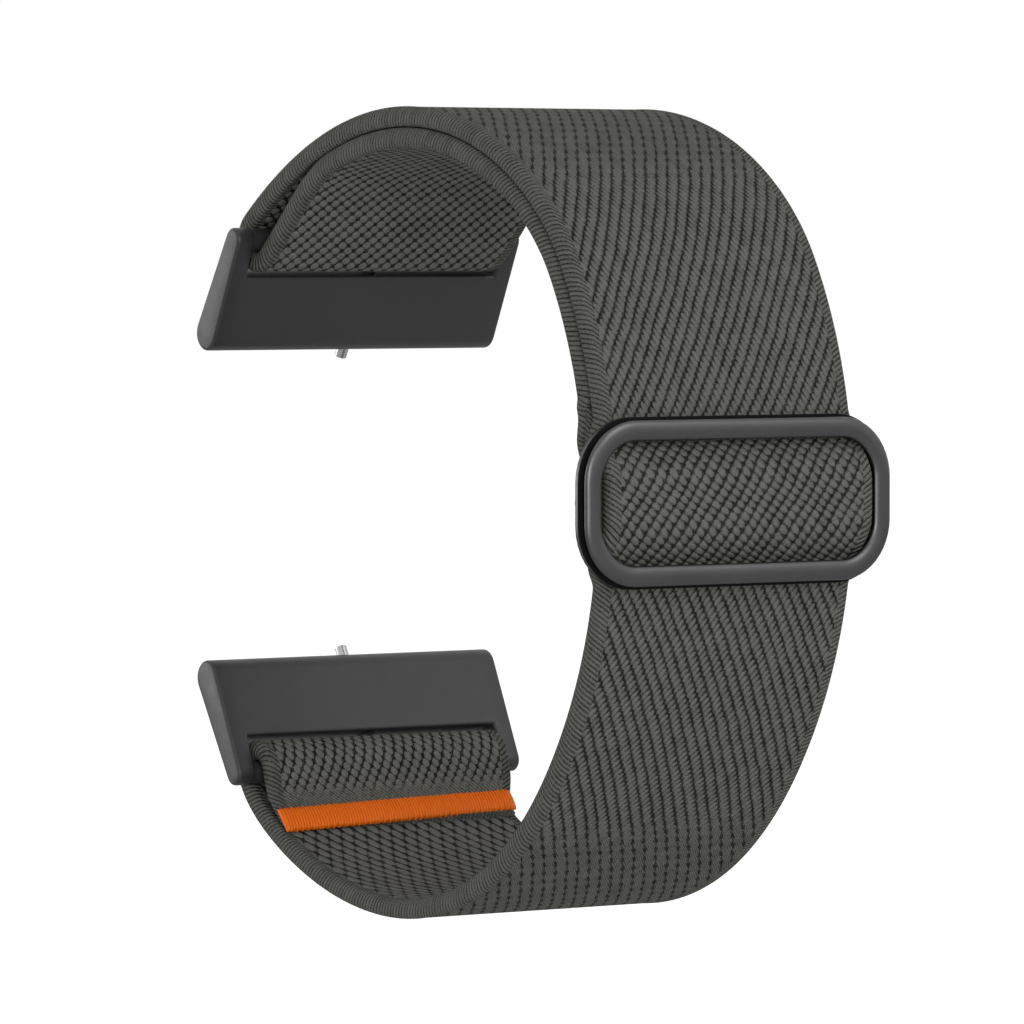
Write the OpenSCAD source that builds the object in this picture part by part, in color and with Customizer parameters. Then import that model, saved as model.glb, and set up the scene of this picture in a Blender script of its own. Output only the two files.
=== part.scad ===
// Nylon watch strap: one length of woven webbing with a slider buckle and two lug adapters.
// X runs across the webbing, Y from the buckle to the adapters, Z from the lower adapter to the upper one.
// The origin is the middle of the wrist opening, halfway between the bars of the two adapters.
// The webbing starts in a fold sewn round the lower bar, passes under, over and under the buckle,
// goes round the upper bar and comes back on the inside to end in a loop on the buckle's pin.

/* [Webbing] */
// Width of the webbing
webbing_w = 26.5; // [20:0.5:30]
// Thickness of the webbing
webbing_t = 1.7; // [1.3:0.05:2.2]
// Gap between two layers that lie on each other
layer_gap = 0.15; // [0.1:0.05:0.4]

/* [Loop] */
// Distance from the origin to the middle of the webbing's thickness, at the buckle
loop_front = 27.1; // [24:0.1:32]
// Radius of the arc that the webbing follows behind the buckle
arc_r = 40.6; // [36:0.1:46]
// Half of the angle that this arc covers
arc_half = 30; // [26:1:34]
// Height of the buckle's middle over the origin
buckle_rise = 1.9; // [-2:0.1:3]
// Distance from the origin to the two bars, away from the buckle
bar_back = 26.5; // [23:0.1:30]
// Half of the distance between the two bars
bar_half_gap = 24; // [21:0.1:27]
// Angle that the webbing has turned through where it meets the upper bar
upper_turn = 128; // [115:0.5:140]
// Straightness of the upper curve at its buckle end
upper_lead = 13.5; // [10:0.1:22]
// Straightness of the upper curve at its bar end
upper_trail = 26.4; // [18:0.1:32]
// Angle that the webbing has turned through where it meets the lower bar
lower_turn = 161.5; // [140:0.5:165]
// Straightness of the lower curve at its buckle end
lower_lead = 32.8; // [22:0.1:36]
// Straightness of the lower curve at its bar end
lower_trail = 6; // [5:0.1:14]
// Share of the upper curve after which the two layers part
part_share = 0.8; // [0.5:0.01:0.9]

/* [Sewn ends] */
// Length of the tail that is folded back round the lower bar
tail_l = 7.5; // [6.5:0.1:10]
// Thickness of the tail where it is sewn flat
tail_sewn_t = 0.6; // [0.5:0.05:1.2]
// Length of the orange bar tack, across the webbing
tack_l = 25.5; // [16:0.1:26]
// Width of the orange bar tack, along the webbing
tack_w = 2.4; // [1.5:0.1:3]
// Height of a bar tack over the webbing
tack_t = 0.35; // [0.3:0.05:0.7]
// Thickness of the webbing in the loop on the buckle's pin
end_t = 1.2; // [0.9:0.05:1.4]
// Thickness that the loop's folded end is sewn down to at its cut
cut_t = 0.35; // [0.3:0.05:0.8]
// Angle on the arc where the loop's folded end is cut
end_cut = 11.5; // [10:0.5:13]
// Length of the bar tack on the loop's end, across the webbing
end_tack_l = 22; // [14:0.5:25]
// Angle on the arc that the loop's bar tack covers
end_tack_span = 2.6; // [1.5:0.1:3.5]

/* [Buckle] */
// Side gap between the webbing and the bezel's window
window_gap = 1.1; // [0.5:0.05:2]
// Height of the bezel, along the webbing
bezel_h = 14; // [13:0.1:18]
// Width of the bezel's section, seen from the front
bezel_bar = 1.75; // [1.4:0.05:2.2]
// Depth of the bezel's section, with its edges fully rounded
bezel_t = 0.8; // [0.6:0.05:1.2]
// Radius of the bezel's corners, outside
bezel_corner = 5.2; // [3:0.1:6]
// Distance between the webbing's arc and the middle of the bezel's section
bezel_lift = 1.8; // [1.5:0.05:3]
// Height of the step that keeps the bezel off its back plate
step_t = 0.2; // [0.15:0.05:0.5]
// How far the step lies inside the bezel's outline
step_inset = 0.4; // [0.2:0.05:0.6]
// Thickness of the back plate
plate_t = 0.5; // [0.4:0.05:0.8]
// How far the back plate stands out past the bezel
plate_rim = 0.25; // [0.1:0.05:0.5]
// Width of the back plate's upper and lower bars
plate_bar = 1.9; // [1.4:0.1:2.4]
// Side gap between the webbing's widest place and the back plate
side_gap = 0.2; // [0.1:0.05:0.6]
// Radius of the pin that the loop is sewn round
pin_r = 0.7; // [0.5:0.05:0.9]
// Gap between the pin and the loop of webbing round it
pin_gap = 0.05; // [0.02:0.01:0.2]
// Side gap between the webbing and the two ears that hold the pin
ear_gap = 0.15; // [0.1:0.01:0.3]
// Thickness of an ear
ear_t = 0.75; // [0.6:0.05:1]
// Wall of an ear round its hole
ear_wall = 0.5; // [0.4:0.05:0.8]
// Length of an ear's foot behind the back plate, across the webbing
foot_l = 1.5; // [1.2:0.1:2]
// Thickness of an ear's foot
foot_t = 0.8; // [0.5:0.1:1]
// Height of an ear's foot, along the webbing
foot_h = 4.8; // [3:0.1:6]
// Distance from the plate's back to the part of the foot that lies behind the webbing's edge
foot_drop = 0.25; // [0.2:0.01:0.4]
// How far the webbing rises over the pin
hump_h = 1.7; // [1.4:0.05:2.4]
// Half of the hump's length, along the webbing
hump_half = 5.5; // [5:0.1:6]
// Half of the stretch over the pin where the webbing is level
hump_flat = 1.6; // [1:0.1:2.2]
// How far the webbing spreads in the buckle's window, on each side
bridge_spread = 0.65; // [0.2:0.05:0.9]
// Half of the angle of webbing that moves with the buckle
bridge_half = 10.5; // [10:0.5:12]

/* [Adapters] */
// Lean of the adapters from the Z axis
lean = 28; // [20:1:36]
// Radius of an adapter's bar
bar_r = 1; // [0.8:0.05:1.3]
// Gap between a bar and the webbing round it
fold_gap = 0.15; // [0.1:0.05:0.3]
// Side gap between the webbing and an adapter's arm
arm_gap = 0.3; // [0.2:0.05:0.8]
// Width of an arm, across the webbing
arm_w = 1.9; // [1.4:0.1:3]
// Radius of an arm's tip
tip_r = 1.1; // [1:0.05:1.5]
// Gap between the folded webbing and the far wall of the slot
slot_gap = 0.35; // [0.2:0.05:0.8]
// Radius of the slot's far corners
slot_corner = 0.6; // [0.2:0.05:0.8]
// Distance from a bar to the middle of its lug rail
rail_reach = 9.5; // [9:0.1:12]
// Radius of the lug rail
rail_r = 1.6; // [1.4:0.05:2.2]
// Chamfer on the ends of the lug rail
rail_chamfer = 0.5; // [0.2:0.05:0.8]

/* [Catches] */
// Radius of the bore that holds a catch
bore_r = 0.9; // [0.7:0.05:1]
// Running gap round a catch
catch_gap = 0.05; // [0.02:0.01:0.1]
// Radius of a catch's nose
nose_r = 0.55; // [0.4:0.05:0.65]
// Length of a catch's head
head_l = 1.6; // [1:0.1:2]
// How far a catch stands out of its rail
nose_out = 0.9; // [0.4:0.1:1.2]
// Thickness of the shoulder that a catch rests on
shoulder_t = 1.2; // [0.8:0.1:1.5]
// Length of the plug that closes a bore
plug_l = 1.2; // [0.8:0.1:1.6]
// Thickness of the spring's wire
wire_t = 0.2; // [0.15:0.01:0.22]
// Number of the spring's turns
spring_turns = 5; // [4:1:5]

/* [Hidden] */
$fn = 48;
UPPER = 1;
LOWER = -1;
webbing_colour = [0.27, 0.27, 0.26];
fold_colour = [0.24, 0.24, 0.23];
thread_colour = [0.86, 0.36, 0.06];
grey_thread_colour = [0.33, 0.33, 0.32];
adapter_colour = [0.13, 0.13, 0.13];
buckle_colour = [0.3, 0.3, 0.3];
steel_colour = [0.6, 0.6, 0.6];
// A press fit or a joint of two faces, drawn with this much air
seat_gap = 0.02;
// How softly the tail bends
tail_bend = 0.33;
// Step along the arc, in degrees, and steps along a curve
arc_step = 1.5;
curve_steps = 40;
arc_y = arc_r - loop_front;
fold_in = bar_r + fold_gap;
fold_out = fold_in + webbing_t;
fold_mid = (fold_in + fold_out) / 2;
slot_inner_w = webbing_w + 2 * arm_gap;
adapter_w = slot_inner_w + 2 * arm_w;
slot_end = fold_out + slot_gap;
hump_angle = asin(hump_half / arc_r);
flat_angle = asin(hump_flat / arc_r);
pin_hole_r = pin_r + seat_gap;
loop_in = pin_r + pin_gap;
pin_radius = arc_r + hump_h - webbing_t / 2 - layer_gap - end_t - loop_in;
// Angles where the folded end begins to thin and its leg to thicken, and over which the leg is full again
taper_from = 7.5;
thicken_over = 5.5;
// Past the cut, the leg comes up to the running webbing from one angle over another
rise_from = end_cut + 0.3;
rise_over = 1.5;
inner_from = arc_half - 2;
bezel_w = webbing_w + 2 * window_gap + 2 * bezel_bar;
bezel_y = -loop_front - bezel_lift;
plate_front = bezel_y + bezel_t / 2 + step_t;
plate_back = plate_front + plate_t;
plate_in = webbing_w / 2 + bridge_spread + side_gap;
window_z = bezel_h / 2 + plate_rim - plate_bar;
window_angle = asin(window_z / arc_r);
ear_in = webbing_w / 2 + ear_gap;
shoulder_z = rail_reach + rail_r - shoulder_t;
head_back_z = shoulder_z - head_l;
plug_back_z = slot_end + plug_l;
spring_r = bore_r - wire_t / 2 - catch_gap;

// A smooth step from 0 to 1
function smooth(x) = let(c = min(max(x, 0), 1)) c * c * (3 - 2 * c);
function mix(a, b, x) = a * (1 - x) + b * x;
function range(from, to, steps) = [for (i = [0:steps]) from + (to - from) * i / steps];
function backwards(list) = [for (i = [len(list) - 1:-1:0]) list[i]];
// A point at an angle on the arc, in the row's Y and Z, or mirrored for the lower half
function arc_at(side, r, a) = [arc_y - r * cos(a), buckle_rise + side * r * sin(a)];
// The four control points of the curve from the arc to a bar, with the second value measured from the buckle's middle
function turn_of(side) = side == UPPER ? upper_turn : lower_turn;
function lead_of(side) = side == UPPER ? upper_lead : lower_lead;
function trail_of(side) = side == UPPER ? upper_trail : lower_trail;
function heading(a) = [sin(a), cos(a)];
function outward(d) = [-d[1], d[0]];
function bar_at(side) = [bar_back, bar_half_gap - side * buckle_rise];
function curve_end(side) = bar_at(side) + fold_mid * outward(heading(turn_of(side)));
function controls(side) = let(start = [arc_y - arc_r * cos(arc_half), arc_r * sin(arc_half)], end = curve_end(side))
    [start, start + lead_of(side) * heading(arc_half), end - trail_of(side) * heading(turn_of(side)), end];
function curve_at(side, t) = bezier(controls(side), t);
function curve_slope(side, t) = bezier_slope(controls(side), t);
function unit(v) = v / norm(v);
function to_row(side, p) = [p[0], buckle_rise + side * p[1]];
// A point on the curve, moved out by off
function off_curve(side, t, off) = to_row(side, curve_at(side, t) + off * outward(unit(curve_slope(side, t))));
// The place on the curve that lies a straight distance l from the bar's end
function back_from_bar(side, l, low = 0, high = 1, n = 24) = n == 0 ? (low + high) / 2 :
    let(mid = (low + high) / 2, far = norm(curve_at(side, 1) - curve_at(side, mid)) > l)
    far ? back_from_bar(side, l, mid, high, n - 1) : back_from_bar(side, l, low, mid, n - 1);
function arc_angles(from, to) = range(from, to, ceil(abs(to - from) / arc_step));
// Height of the running webbing over its arc, at an angle
function risen(a) = smooth((hump_angle - abs(a)) / (hump_angle - flat_angle));
function hump(a) = hump_h * risen(a);
function run_inside(a) = arc_r + hump(a) - webbing_t / 2;
// The loop's folded end lies under the running webbing, and its other leg under that
function thinned(a) = smooth((a - taper_from) / (end_cut - taper_from));
function folded_in(a) = run_inside(a) - layer_gap - mix(end_t, cut_t, thinned(a));
function pin_room(a) = abs(a) >= hump_angle ? 0 : 2 * loop_in * pow(cos(90 * a / hump_angle), 2);
function thicker(a) = smooth((a - taper_from) / thicken_over);
function leg_out(a) =
    mix(folded_in(a) - pin_room(a), arc_r - webbing_t / 2 - layer_gap, smooth((a - rise_from) / rise_over));
function leg_in(a) = leg_out(a) - mix(end_t, webbing_t, thicker(a));
// The inner layer lies under the outer one, and parts from it to go round the bar
function parted(t) = smooth((t - part_share) / (1 - part_share));
function inner_out(t) = mix(-webbing_t / 2 - layer_gap, webbing_t / 2 - 2 * fold_mid, parted(t));
// The tail leaves the bar at full thickness and curves down, thinner, until its end lies on the run
function tail_controls() = let(d = heading(lower_turn), t = back_from_bar(LOWER, tail_l),
    run_d = unit(curve_slope(LOWER, t)), start = bar_at(LOWER) - fold_mid * outward(d),
    end = curve_at(LOWER, t) - (webbing_t / 2 + seat_gap + tail_sewn_t / 2) * outward(run_d),
    lead = tail_bend * norm(end - start))
    [start, start - lead * d, end + lead * run_d, end];
function bezier(c, u) = let(s = 1 - u)
    s * s * s * c[0] + 3 * s * s * u * c[1] + 3 * s * u * u * c[2] + u * u * u * c[3];
function bezier_slope(c, u) = let(s = 1 - u)
    3 * s * s * (c[1] - c[0]) + 6 * s * u * (c[2] - c[1]) + 3 * u * u * (c[3] - c[2]);
function tail_point(u, side, off) = let(c = tail_controls(), half = mix(webbing_t, tail_sewn_t, smooth(u)) / 2)
    to_row(LOWER, bezier(c, u) + side * (half + off) * outward(unit(bezier_slope(c, u))));
function tack_from() = let(c = tail_controls()) 1 - tack_w / (norm(c[3] - c[2]) + norm(c[2] - c[1]) + norm(c[1] - c[0]));

// Draws its children in Y and Z and gives them a width along X
module across(w) {
    rotate([90, 0, 90]) linear_extrude(height = w, center = true) children();
}

// A stretch of webbing on the arc and the curve of one side, at full thickness
module run(side, from_angle) {
    across(webbing_w) polygon(concat(
        [for (a = arc_angles(from_angle, arc_half)) arc_at(side, arc_r + webbing_t / 2, a)],
        [for (t = range(1 / curve_steps, 1, curve_steps - 1)) off_curve(side, t, webbing_t / 2)],
        [for (t = range(1, 1 / curve_steps, curve_steps - 1)) off_curve(side, t, -webbing_t / 2)],
        [for (a = arc_angles(arc_half, from_angle)) arc_at(side, arc_r - webbing_t / 2, a)]));
}

// The half turn of webbing round an adapter's bar
module fold(side) {
    turn = turn_of(side);
    across(webbing_w) translate([bar_back, side * bar_half_gap]) rotate(atan2(side * cos(turn), sin(turn)))
        half_ring(fold_in, fold_out);
}

// Half of a flat ring, on the side that x points to
module half_ring(inside, outside) {
    difference() {
        circle(outside);
        circle(inside);
        translate([-2 * outside, -2 * outside]) square([2 * outside, 4 * outside]);
    }
}

module webbing_lower_run() {
    color(webbing_colour) run(LOWER, bridge_half);
}

module webbing_lower_fold() {
    color(fold_colour) fold(LOWER);
}

module webbing_tail() {
    steps = range(0, 1, 20);
    color(webbing_colour) across(webbing_w) polygon(concat(
        [for (u = steps) tail_point(u, -1, 0)],
        [for (u = backwards(steps)) tail_point(u, 1, 0)]));
}

module orange_tack() {
    steps = range(tack_from(), 1, 8);
    color(thread_colour) across(tack_l) polygon(concat(
        [for (u = steps) tail_point(u, 1, seat_gap)],
        [for (u = backwards(steps)) tail_point(u, 1, seat_gap + tack_t)]));
}

module webbing_outer_run() {
    color(webbing_colour) run(UPPER, bridge_half);
}

module webbing_upper_fold() {
    color(fold_colour) fold(UPPER);
}

module webbing_inner_run() {
    out = arc_r - webbing_t / 2 - layer_gap;
    color(webbing_colour) across(webbing_w) polygon(concat(
        [for (a = arc_angles(inner_from, arc_half)) arc_at(UPPER, out, a)],
        [for (t = range(1 / curve_steps, 1, curve_steps - 1)) off_curve(UPPER, t, inner_out(t))],
        [for (t = range(1, 1 / curve_steps, curve_steps - 1)) off_curve(UPPER, t, inner_out(t) - webbing_t)],
        [for (a = arc_angles(arc_half, inner_from)) arc_at(UPPER, out - webbing_t, a)]));
}

// The running webbing where it rises over the pin and fills the buckle's window
module webbing_bridge() {
    angles = range(-bridge_half, bridge_half, 42);
    color(webbing_colour) intersection() {
        across(webbing_w + 2 * bridge_spread) polygon(concat(
            [for (a = angles) arc_at(UPPER, run_inside(a) + webbing_t, a)],
            [for (a = backwards(angles)) arc_at(UPPER, run_inside(a), a)]));
        stand_up(-loop_front - hump_h - webbing_t, -loop_front + webbing_t) bridge_plan();
    }
}

// The bridge's outline as seen from the front, at its widest in the window of the back plate
module bridge_plan() {
    angles = range(-bridge_half, bridge_half, 28);
    half_w = webbing_w / 2;
    end = arc_r * sin(bridge_half) + webbing_t;
    right = concat([[half_w, -end]], [for (a = angles)
        [half_w + bridge_spread * smooth((bridge_half - abs(a)) / (bridge_half - window_angle)), arc_r * sin(a)]],
        [[half_w, end]]);
    polygon(concat(right, [for (p = backwards(right)) [-p[0], p[1]]]));
}

// The end of the webbing: a loop round the pin, its folded end and the leg that goes up to the inner layer
module webbing_end() {
    pin = arc_at(UPPER, pin_radius, 0);
    room = range(0, 0.9 * hump_angle, 16);
    color(webbing_colour) across(webbing_w) difference() {
        polygon(concat(
            [for (a = range(end_cut, 0, 20)) arc_at(UPPER, run_inside(a) - layer_gap, a)],
            [for (a = range(190, 350, 16)) pin + (loop_in + end_t) * [cos(a), sin(a)]],
            [for (a = range(0, inner_from, 42)) arc_at(UPPER, leg_in(a), a)],
            [for (a = range(inner_from, end_cut, 30)) arc_at(UPPER, leg_out(a), a)]));
        translate(pin) circle(loop_in);
        polygon(concat([for (a = room) arc_at(UPPER, folded_in(a), a)],
            [for (a = backwards(room)) arc_at(UPPER, leg_out(a), a)]));
    }
}

module end_tack() {
    angles = range(end_cut - end_tack_span, end_cut, 4);
    color(grey_thread_colour) across(end_tack_l) polygon(concat(
        [for (a = angles) arc_at(UPPER, leg_in(a) - seat_gap, a)],
        [for (a = backwards(angles)) arc_at(UPPER, leg_in(a) - seat_gap - tack_t, a)]));
}

// A flat rectangle with round corners, w along X and h along Z once it stands up
module round_rect(w, h, r) {
    union() {
        square([w - 2 * r, h], center = true);
        square([w, h - 2 * r], center = true);
        for (x = [-1, 1], y = [-1, 1]) translate([x * (w / 2 - r), y * (h / 2 - r)]) circle(r);
    }
}

// Stands a flat shape up in X and Z, from one Y to another
module stand_up(from_y, to_y) {
    translate([0, to_y, buckle_rise]) rotate([90, 0, 0]) linear_extrude(height = to_y - from_y) children();
}

module bezel_ring(inset) {
    difference() {
        round_rect(bezel_w - 2 * inset, bezel_h - 2 * inset, bezel_corner - inset);
        round_rect(bezel_w - 2 * bezel_bar + 2 * inset, bezel_h - 2 * bezel_bar + 2 * inset,
            bezel_corner - bezel_bar + inset);
    }
}

// The section of the bezel: a flat bar with round edges
module bezel_section() {
    off = (bezel_bar - bezel_t) / 2;
    square([2 * off, bezel_t], center = true);
    for (x = [-1, 1]) translate([x * off, 0]) circle(bezel_t / 2);
}

module buckle_bezel() {
    straight_x = bezel_w / 2 - bezel_corner;
    straight_z = bezel_h / 2 - bezel_corner;
    color(buckle_colour) union() {
        translate([0, bezel_y, buckle_rise]) {
            for (z = [-1, 1]) translate([0, 0, z * (bezel_h - bezel_bar) / 2]) across(2 * straight_x)
                rotate(90) bezel_section();
            for (x = [-1, 1]) translate([x * (bezel_w - bezel_bar) / 2, 0, 0])
                linear_extrude(height = 2 * straight_z, center = true) bezel_section();
            for (x = [-1, 1], z = [-1, 1]) translate([x * straight_x, 0, z * straight_z])
                rotate([90, 0, 0]) rotate(x > 0 ? (z > 0 ? 0 : -90) : (z > 0 ? 90 : 180))
                rotate_extrude(angle = 90) translate([bezel_corner - bezel_bar / 2, 0]) bezel_section();
        }
        stand_up(bezel_y, plate_front) bezel_ring(step_inset);
    }
}

// The back plate: a flat ring with two ears that hold the pin, on feet that reach in behind the bridge
module buckle_plate() {
    pin_y = arc_y - pin_radius;
    ear_r = pin_hole_r + ear_wall;
    foot_out = ear_in + foot_l;
    color(buckle_colour) difference() {
        union() {
            stand_up(plate_front, plate_back) difference() {
                round_rect(bezel_w + 2 * plate_rim, bezel_h + 2 * plate_rim, bezel_corner + plate_rim);
                square([2 * plate_in, 2 * window_z], center = true);
            }
            for (side = [-1, 1]) {
                translate([side * (ear_in + ear_t / 2), 0, buckle_rise]) across(ear_t) {
                    translate([pin_y, 0]) circle(ear_r);
                    translate([plate_back, -ear_r]) square([pin_y - plate_back, 2 * ear_r]);
                }
                translate([side * (ear_in + foot_l / 2), 0, buckle_rise]) across(foot_l)
                    translate([plate_back + foot_drop, -foot_h / 2]) square([foot_t - foot_drop, foot_h]);
                translate([side * (plate_in + foot_out) / 2, 0, buckle_rise]) across(foot_out - plate_in)
                    translate([plate_back - plate_t / 2, -foot_h / 2]) square([plate_t / 2 + foot_t, foot_h]);
            }
        }
        translate([0, pin_y, buckle_rise]) rotate([0, 90, 0])
            cylinder(h = 2 * (ear_in + ear_t) + 1, r = pin_hole_r, center = true);
    }
}

module buckle_pin() {
    color(steel_colour) translate([0, arc_y - pin_radius, buckle_rise]) rotate([0, 90, 0])
        cylinder(h = 2 * (ear_in + ear_t), r = pin_r, center = true);
}

// Places what is drawn with its bar at the origin and its rail down the Z axis
module on_bar(side) {
    mirror([0, 0, side == UPPER ? 0 : 1]) translate([0, bar_back, bar_half_gap]) rotate([lean, 0, 0]) children();
}

// Two circles of different size on one axis, with the outline that touches both
module tapered_bar(r_top, r_low, reach) {
    tilt = asin((r_low - r_top) / reach);
    circle(r_top);
    translate([0, -reach]) circle(r_low);
    polygon([r_top * [cos(tilt), sin(tilt)], r_top * [-cos(tilt), sin(tilt)],
        [-r_low * cos(tilt), r_low * sin(tilt) - reach], [r_low * cos(tilt), r_low * sin(tilt) - reach]]);
}

module adapter(side) {
    on_bar(side) difference() {
        union() {
            difference() {
                across(adapter_w - 2 * rail_chamfer) tapered_bar(tip_r, rail_r, rail_reach);
                slot();
            }
            rotate([0, 90, 0]) cylinder(h = slot_inner_w + arm_w, r = bar_r, center = true);
            for (x = [-1, 1]) translate([x * (adapter_w / 2 - rail_chamfer), 0, 0]) rotate([90, 0, x * 90])
                side_cap();
        }
        translate([0, 0, -shoulder_z]) cylinder(h = shoulder_z - slot_end + 1, r = bore_r);
        translate([0, 0, -rail_reach - rail_r - 1]) cylinder(h = rail_r + shoulder_t + 1, r = nose_r + catch_gap);
    }
}

// The slim outer layer of an arm and its rail, past the chamfer line
module side_cap() {
    linear_extrude(height = rail_chamfer) tapered_bar(tip_r - rail_chamfer / 2, rail_r - rail_chamfer / 2, rail_reach);
}

// The opening between the arms, past the tip at one end and with round corners at the other
module slot() {
    w = slot_inner_w;
    open_end = tip_r + 1;
    rotate([90, 0, 0]) linear_extrude(height = 4 * rail_r, center = true) union() {
        translate([-w / 2, -slot_end + slot_corner]) square([w, slot_end - slot_corner + open_end]);
        translate([-w / 2 + slot_corner, -slot_end]) square([w - 2 * slot_corner, slot_end]);
        for (x = [-1, 1]) translate([x * (w / 2 - slot_corner), -slot_end + slot_corner]) circle(slot_corner);
    }
}

module catch(side) {
    on_bar(side) {
        translate([0, 0, -shoulder_z]) cylinder(h = head_l, r = bore_r - catch_gap);
        translate([0, 0, -rail_reach - rail_r - nose_out])
            cylinder(h = shoulder_t + nose_out + head_l / 2, r = nose_r);
    }
}

module catch_plug(side) {
    on_bar(side) translate([0, 0, -plug_back_z]) cylinder(h = plug_l, r = bore_r - seat_gap);
}

// A coil of wire between the plug and the catch's head
module catch_spring(side) {
    sides = 6;
    rings_per_turn = 8;
    rings = spring_turns * rings_per_turn;
    length = head_back_z - plug_back_z - 2 * seat_gap - wire_t;
    middle = [for (i = [0:rings]) -plug_back_z - seat_gap - wire_t / 2 - length * i / rings];
    points = [for (i = [0:rings], k = [0:sides - 1]) let(a = 360 * i / rings_per_turn, b = 360 * k / sides)
        [(spring_r + wire_t / 2 * cos(b)) * cos(a), (spring_r + wire_t / 2 * cos(b)) * sin(a),
        middle[i] + wire_t / 2 * sin(b)]];
    walls = [for (i = [0:rings - 1], k = [0:sides - 1]) let(n = (k + 1) % sides, p = i * sides)
        each [[p + k, p + n, p + sides + n], [p + k, p + sides + n, p + sides + k]]];
    ends = [[for (k = [sides - 1:-1:0]) k], [for (k = [0:sides - 1]) rings * sides + k]];
    on_bar(side) polyhedron(points, concat(walls, ends));
}

module adapter_top() {
    color(adapter_colour) adapter(UPPER);
}

module catch_spring_top() {
    color(steel_colour) catch_spring(UPPER);
}

module catch_plug_top() {
    color(steel_colour) catch_plug(UPPER);
}

module catch_top() {
    color(steel_colour) catch(UPPER);
}

module adapter_bottom() {
    color(adapter_colour) adapter(LOWER);
}

module catch_spring_bottom() {
    color(steel_colour) catch_spring(LOWER);
}

module catch_plug_bottom() {
    color(steel_colour) catch_plug(LOWER);
}

module catch_bottom() {
    color(steel_colour) catch(LOWER);
}

webbing_lower_run();
webbing_lower_fold();
webbing_tail();
orange_tack();
webbing_outer_run();
webbing_upper_fold();
webbing_inner_run();
buckle_bezel();
buckle_plate();
buckle_pin();
webbing_bridge();
webbing_end();
end_tack();
adapter_top();
catch_spring_top();
catch_plug_top();
catch_top();
adapter_bottom();
catch_spring_bottom();
catch_plug_bottom();
catch_bottom();
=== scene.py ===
"""Dresses the nylon watch strap: woven webbing, bar tacks, slider buckle and lug adapters."""
import math

import bmesh
import bpy
from bpy.props import FloatProperty, FloatVectorProperty, IntProperty, PointerProperty
from mathutils import Matrix, Vector


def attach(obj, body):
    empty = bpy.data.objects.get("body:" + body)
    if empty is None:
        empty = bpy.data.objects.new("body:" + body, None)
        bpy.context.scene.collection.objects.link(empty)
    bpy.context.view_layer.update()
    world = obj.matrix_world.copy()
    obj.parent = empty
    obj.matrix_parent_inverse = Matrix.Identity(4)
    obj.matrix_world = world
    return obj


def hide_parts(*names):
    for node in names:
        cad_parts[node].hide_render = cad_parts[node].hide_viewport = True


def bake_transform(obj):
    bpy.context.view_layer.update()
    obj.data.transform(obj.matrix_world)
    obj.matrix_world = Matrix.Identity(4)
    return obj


bl_info = {
    "name": "Nylon Watch Strap",
    "version": (1, 0, 0),
    "blender": (4, 5, 0),
    "location": "View3D > Sidebar > Watch Strap",
    "description": "Makes the webbing, buckle and adapters of a woven watch strap",
    "category": "Object",
}

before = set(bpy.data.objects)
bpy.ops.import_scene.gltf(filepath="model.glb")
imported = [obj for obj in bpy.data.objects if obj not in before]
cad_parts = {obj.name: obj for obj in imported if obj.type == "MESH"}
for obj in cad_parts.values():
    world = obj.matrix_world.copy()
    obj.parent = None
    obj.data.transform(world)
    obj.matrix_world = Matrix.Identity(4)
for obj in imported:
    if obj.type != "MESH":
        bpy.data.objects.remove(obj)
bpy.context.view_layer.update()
UPPER = 1
LOWER = -1
MM = 1000
# Air between pieces that are pressed together, and between the pin and the webbing round it
SEAT = 0.00002
PIN_AIR = 0.00005
# Steps of the webbing along the arc
ARC_STEPS = 76
# The webbing's finishes, in the order of its materials
RIBBED = 0
PEBBLED = 1
EDGE = 2


def length(name, description, default):
    """A size in metres, shown in the panel."""
    return FloatProperty(name=name, description=description, default=default, precision=5, unit="LENGTH")


def angle(name, description, degrees):
    """An angle, shown in degrees in the panel."""
    return FloatProperty(name=name, description=description, default=math.radians(degrees), unit="ROTATION")


def plain(name, description, default):
    """A plain factor."""
    return FloatProperty(name=name, description=description, default=default, precision=4)


def colour(name, description, default):
    """A colour."""
    return FloatVectorProperty(name=name, description=description, default=default, size=3, min=0, max=1,
                               subtype="COLOR")


class StrapLoop(bpy.types.PropertyGroup):
    """The route of the webbing, seen from the side."""
    front: length("Front", "From the origin to the webbing behind the buckle", 0.0271)
    arc_radius: length("Arc Radius", "Radius of the webbing behind the buckle", 0.0406)
    arc_half: angle("Arc Half Angle", "Half of the angle that the arc covers", 30)
    rise: length("Buckle Rise", "Height of the buckle's middle", 0.0019)
    bar_back: length("Bar Back", "From the origin to the adapters' bars", 0.0265)
    bar_half: length("Bar Half Gap", "Half of the distance between the bars", 0.024)
    upper_turn: angle("Upper Turn", "Heading of the webbing at the upper bar", 128)
    upper_lead: length("Upper Lead", "Straightness of the upper curve at the buckle", 0.0135)
    upper_trail: length("Upper Trail", "Straightness of the upper curve at its bar", 0.0264)
    lower_turn: angle("Lower Turn", "Heading of the webbing at the lower bar", 161.5)
    lower_lead: length("Lower Lead", "Straightness of the lower curve at the buckle", 0.0328)
    lower_trail: length("Lower Trail", "Straightness of the lower curve at its bar", 0.006)
    part_share: plain("Parting", "Share of the upper curve after which the layers part", 0.8)
    hump: length("Hump", "How far the webbing rises over the pin", 0.0017)
    hump_half: length("Hump Half Length", "Half of the hump's length", 0.0055)
    hump_flat: length("Hump Level", "Half of the level stretch over the pin", 0.0016)
    spread: length("Spread", "How far the webbing spreads in the window, on each side", 0.00075)
    bridge_half: angle("Bridge Half Angle", "Half of the angle of webbing moved by the buckle", 10.5)


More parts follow.
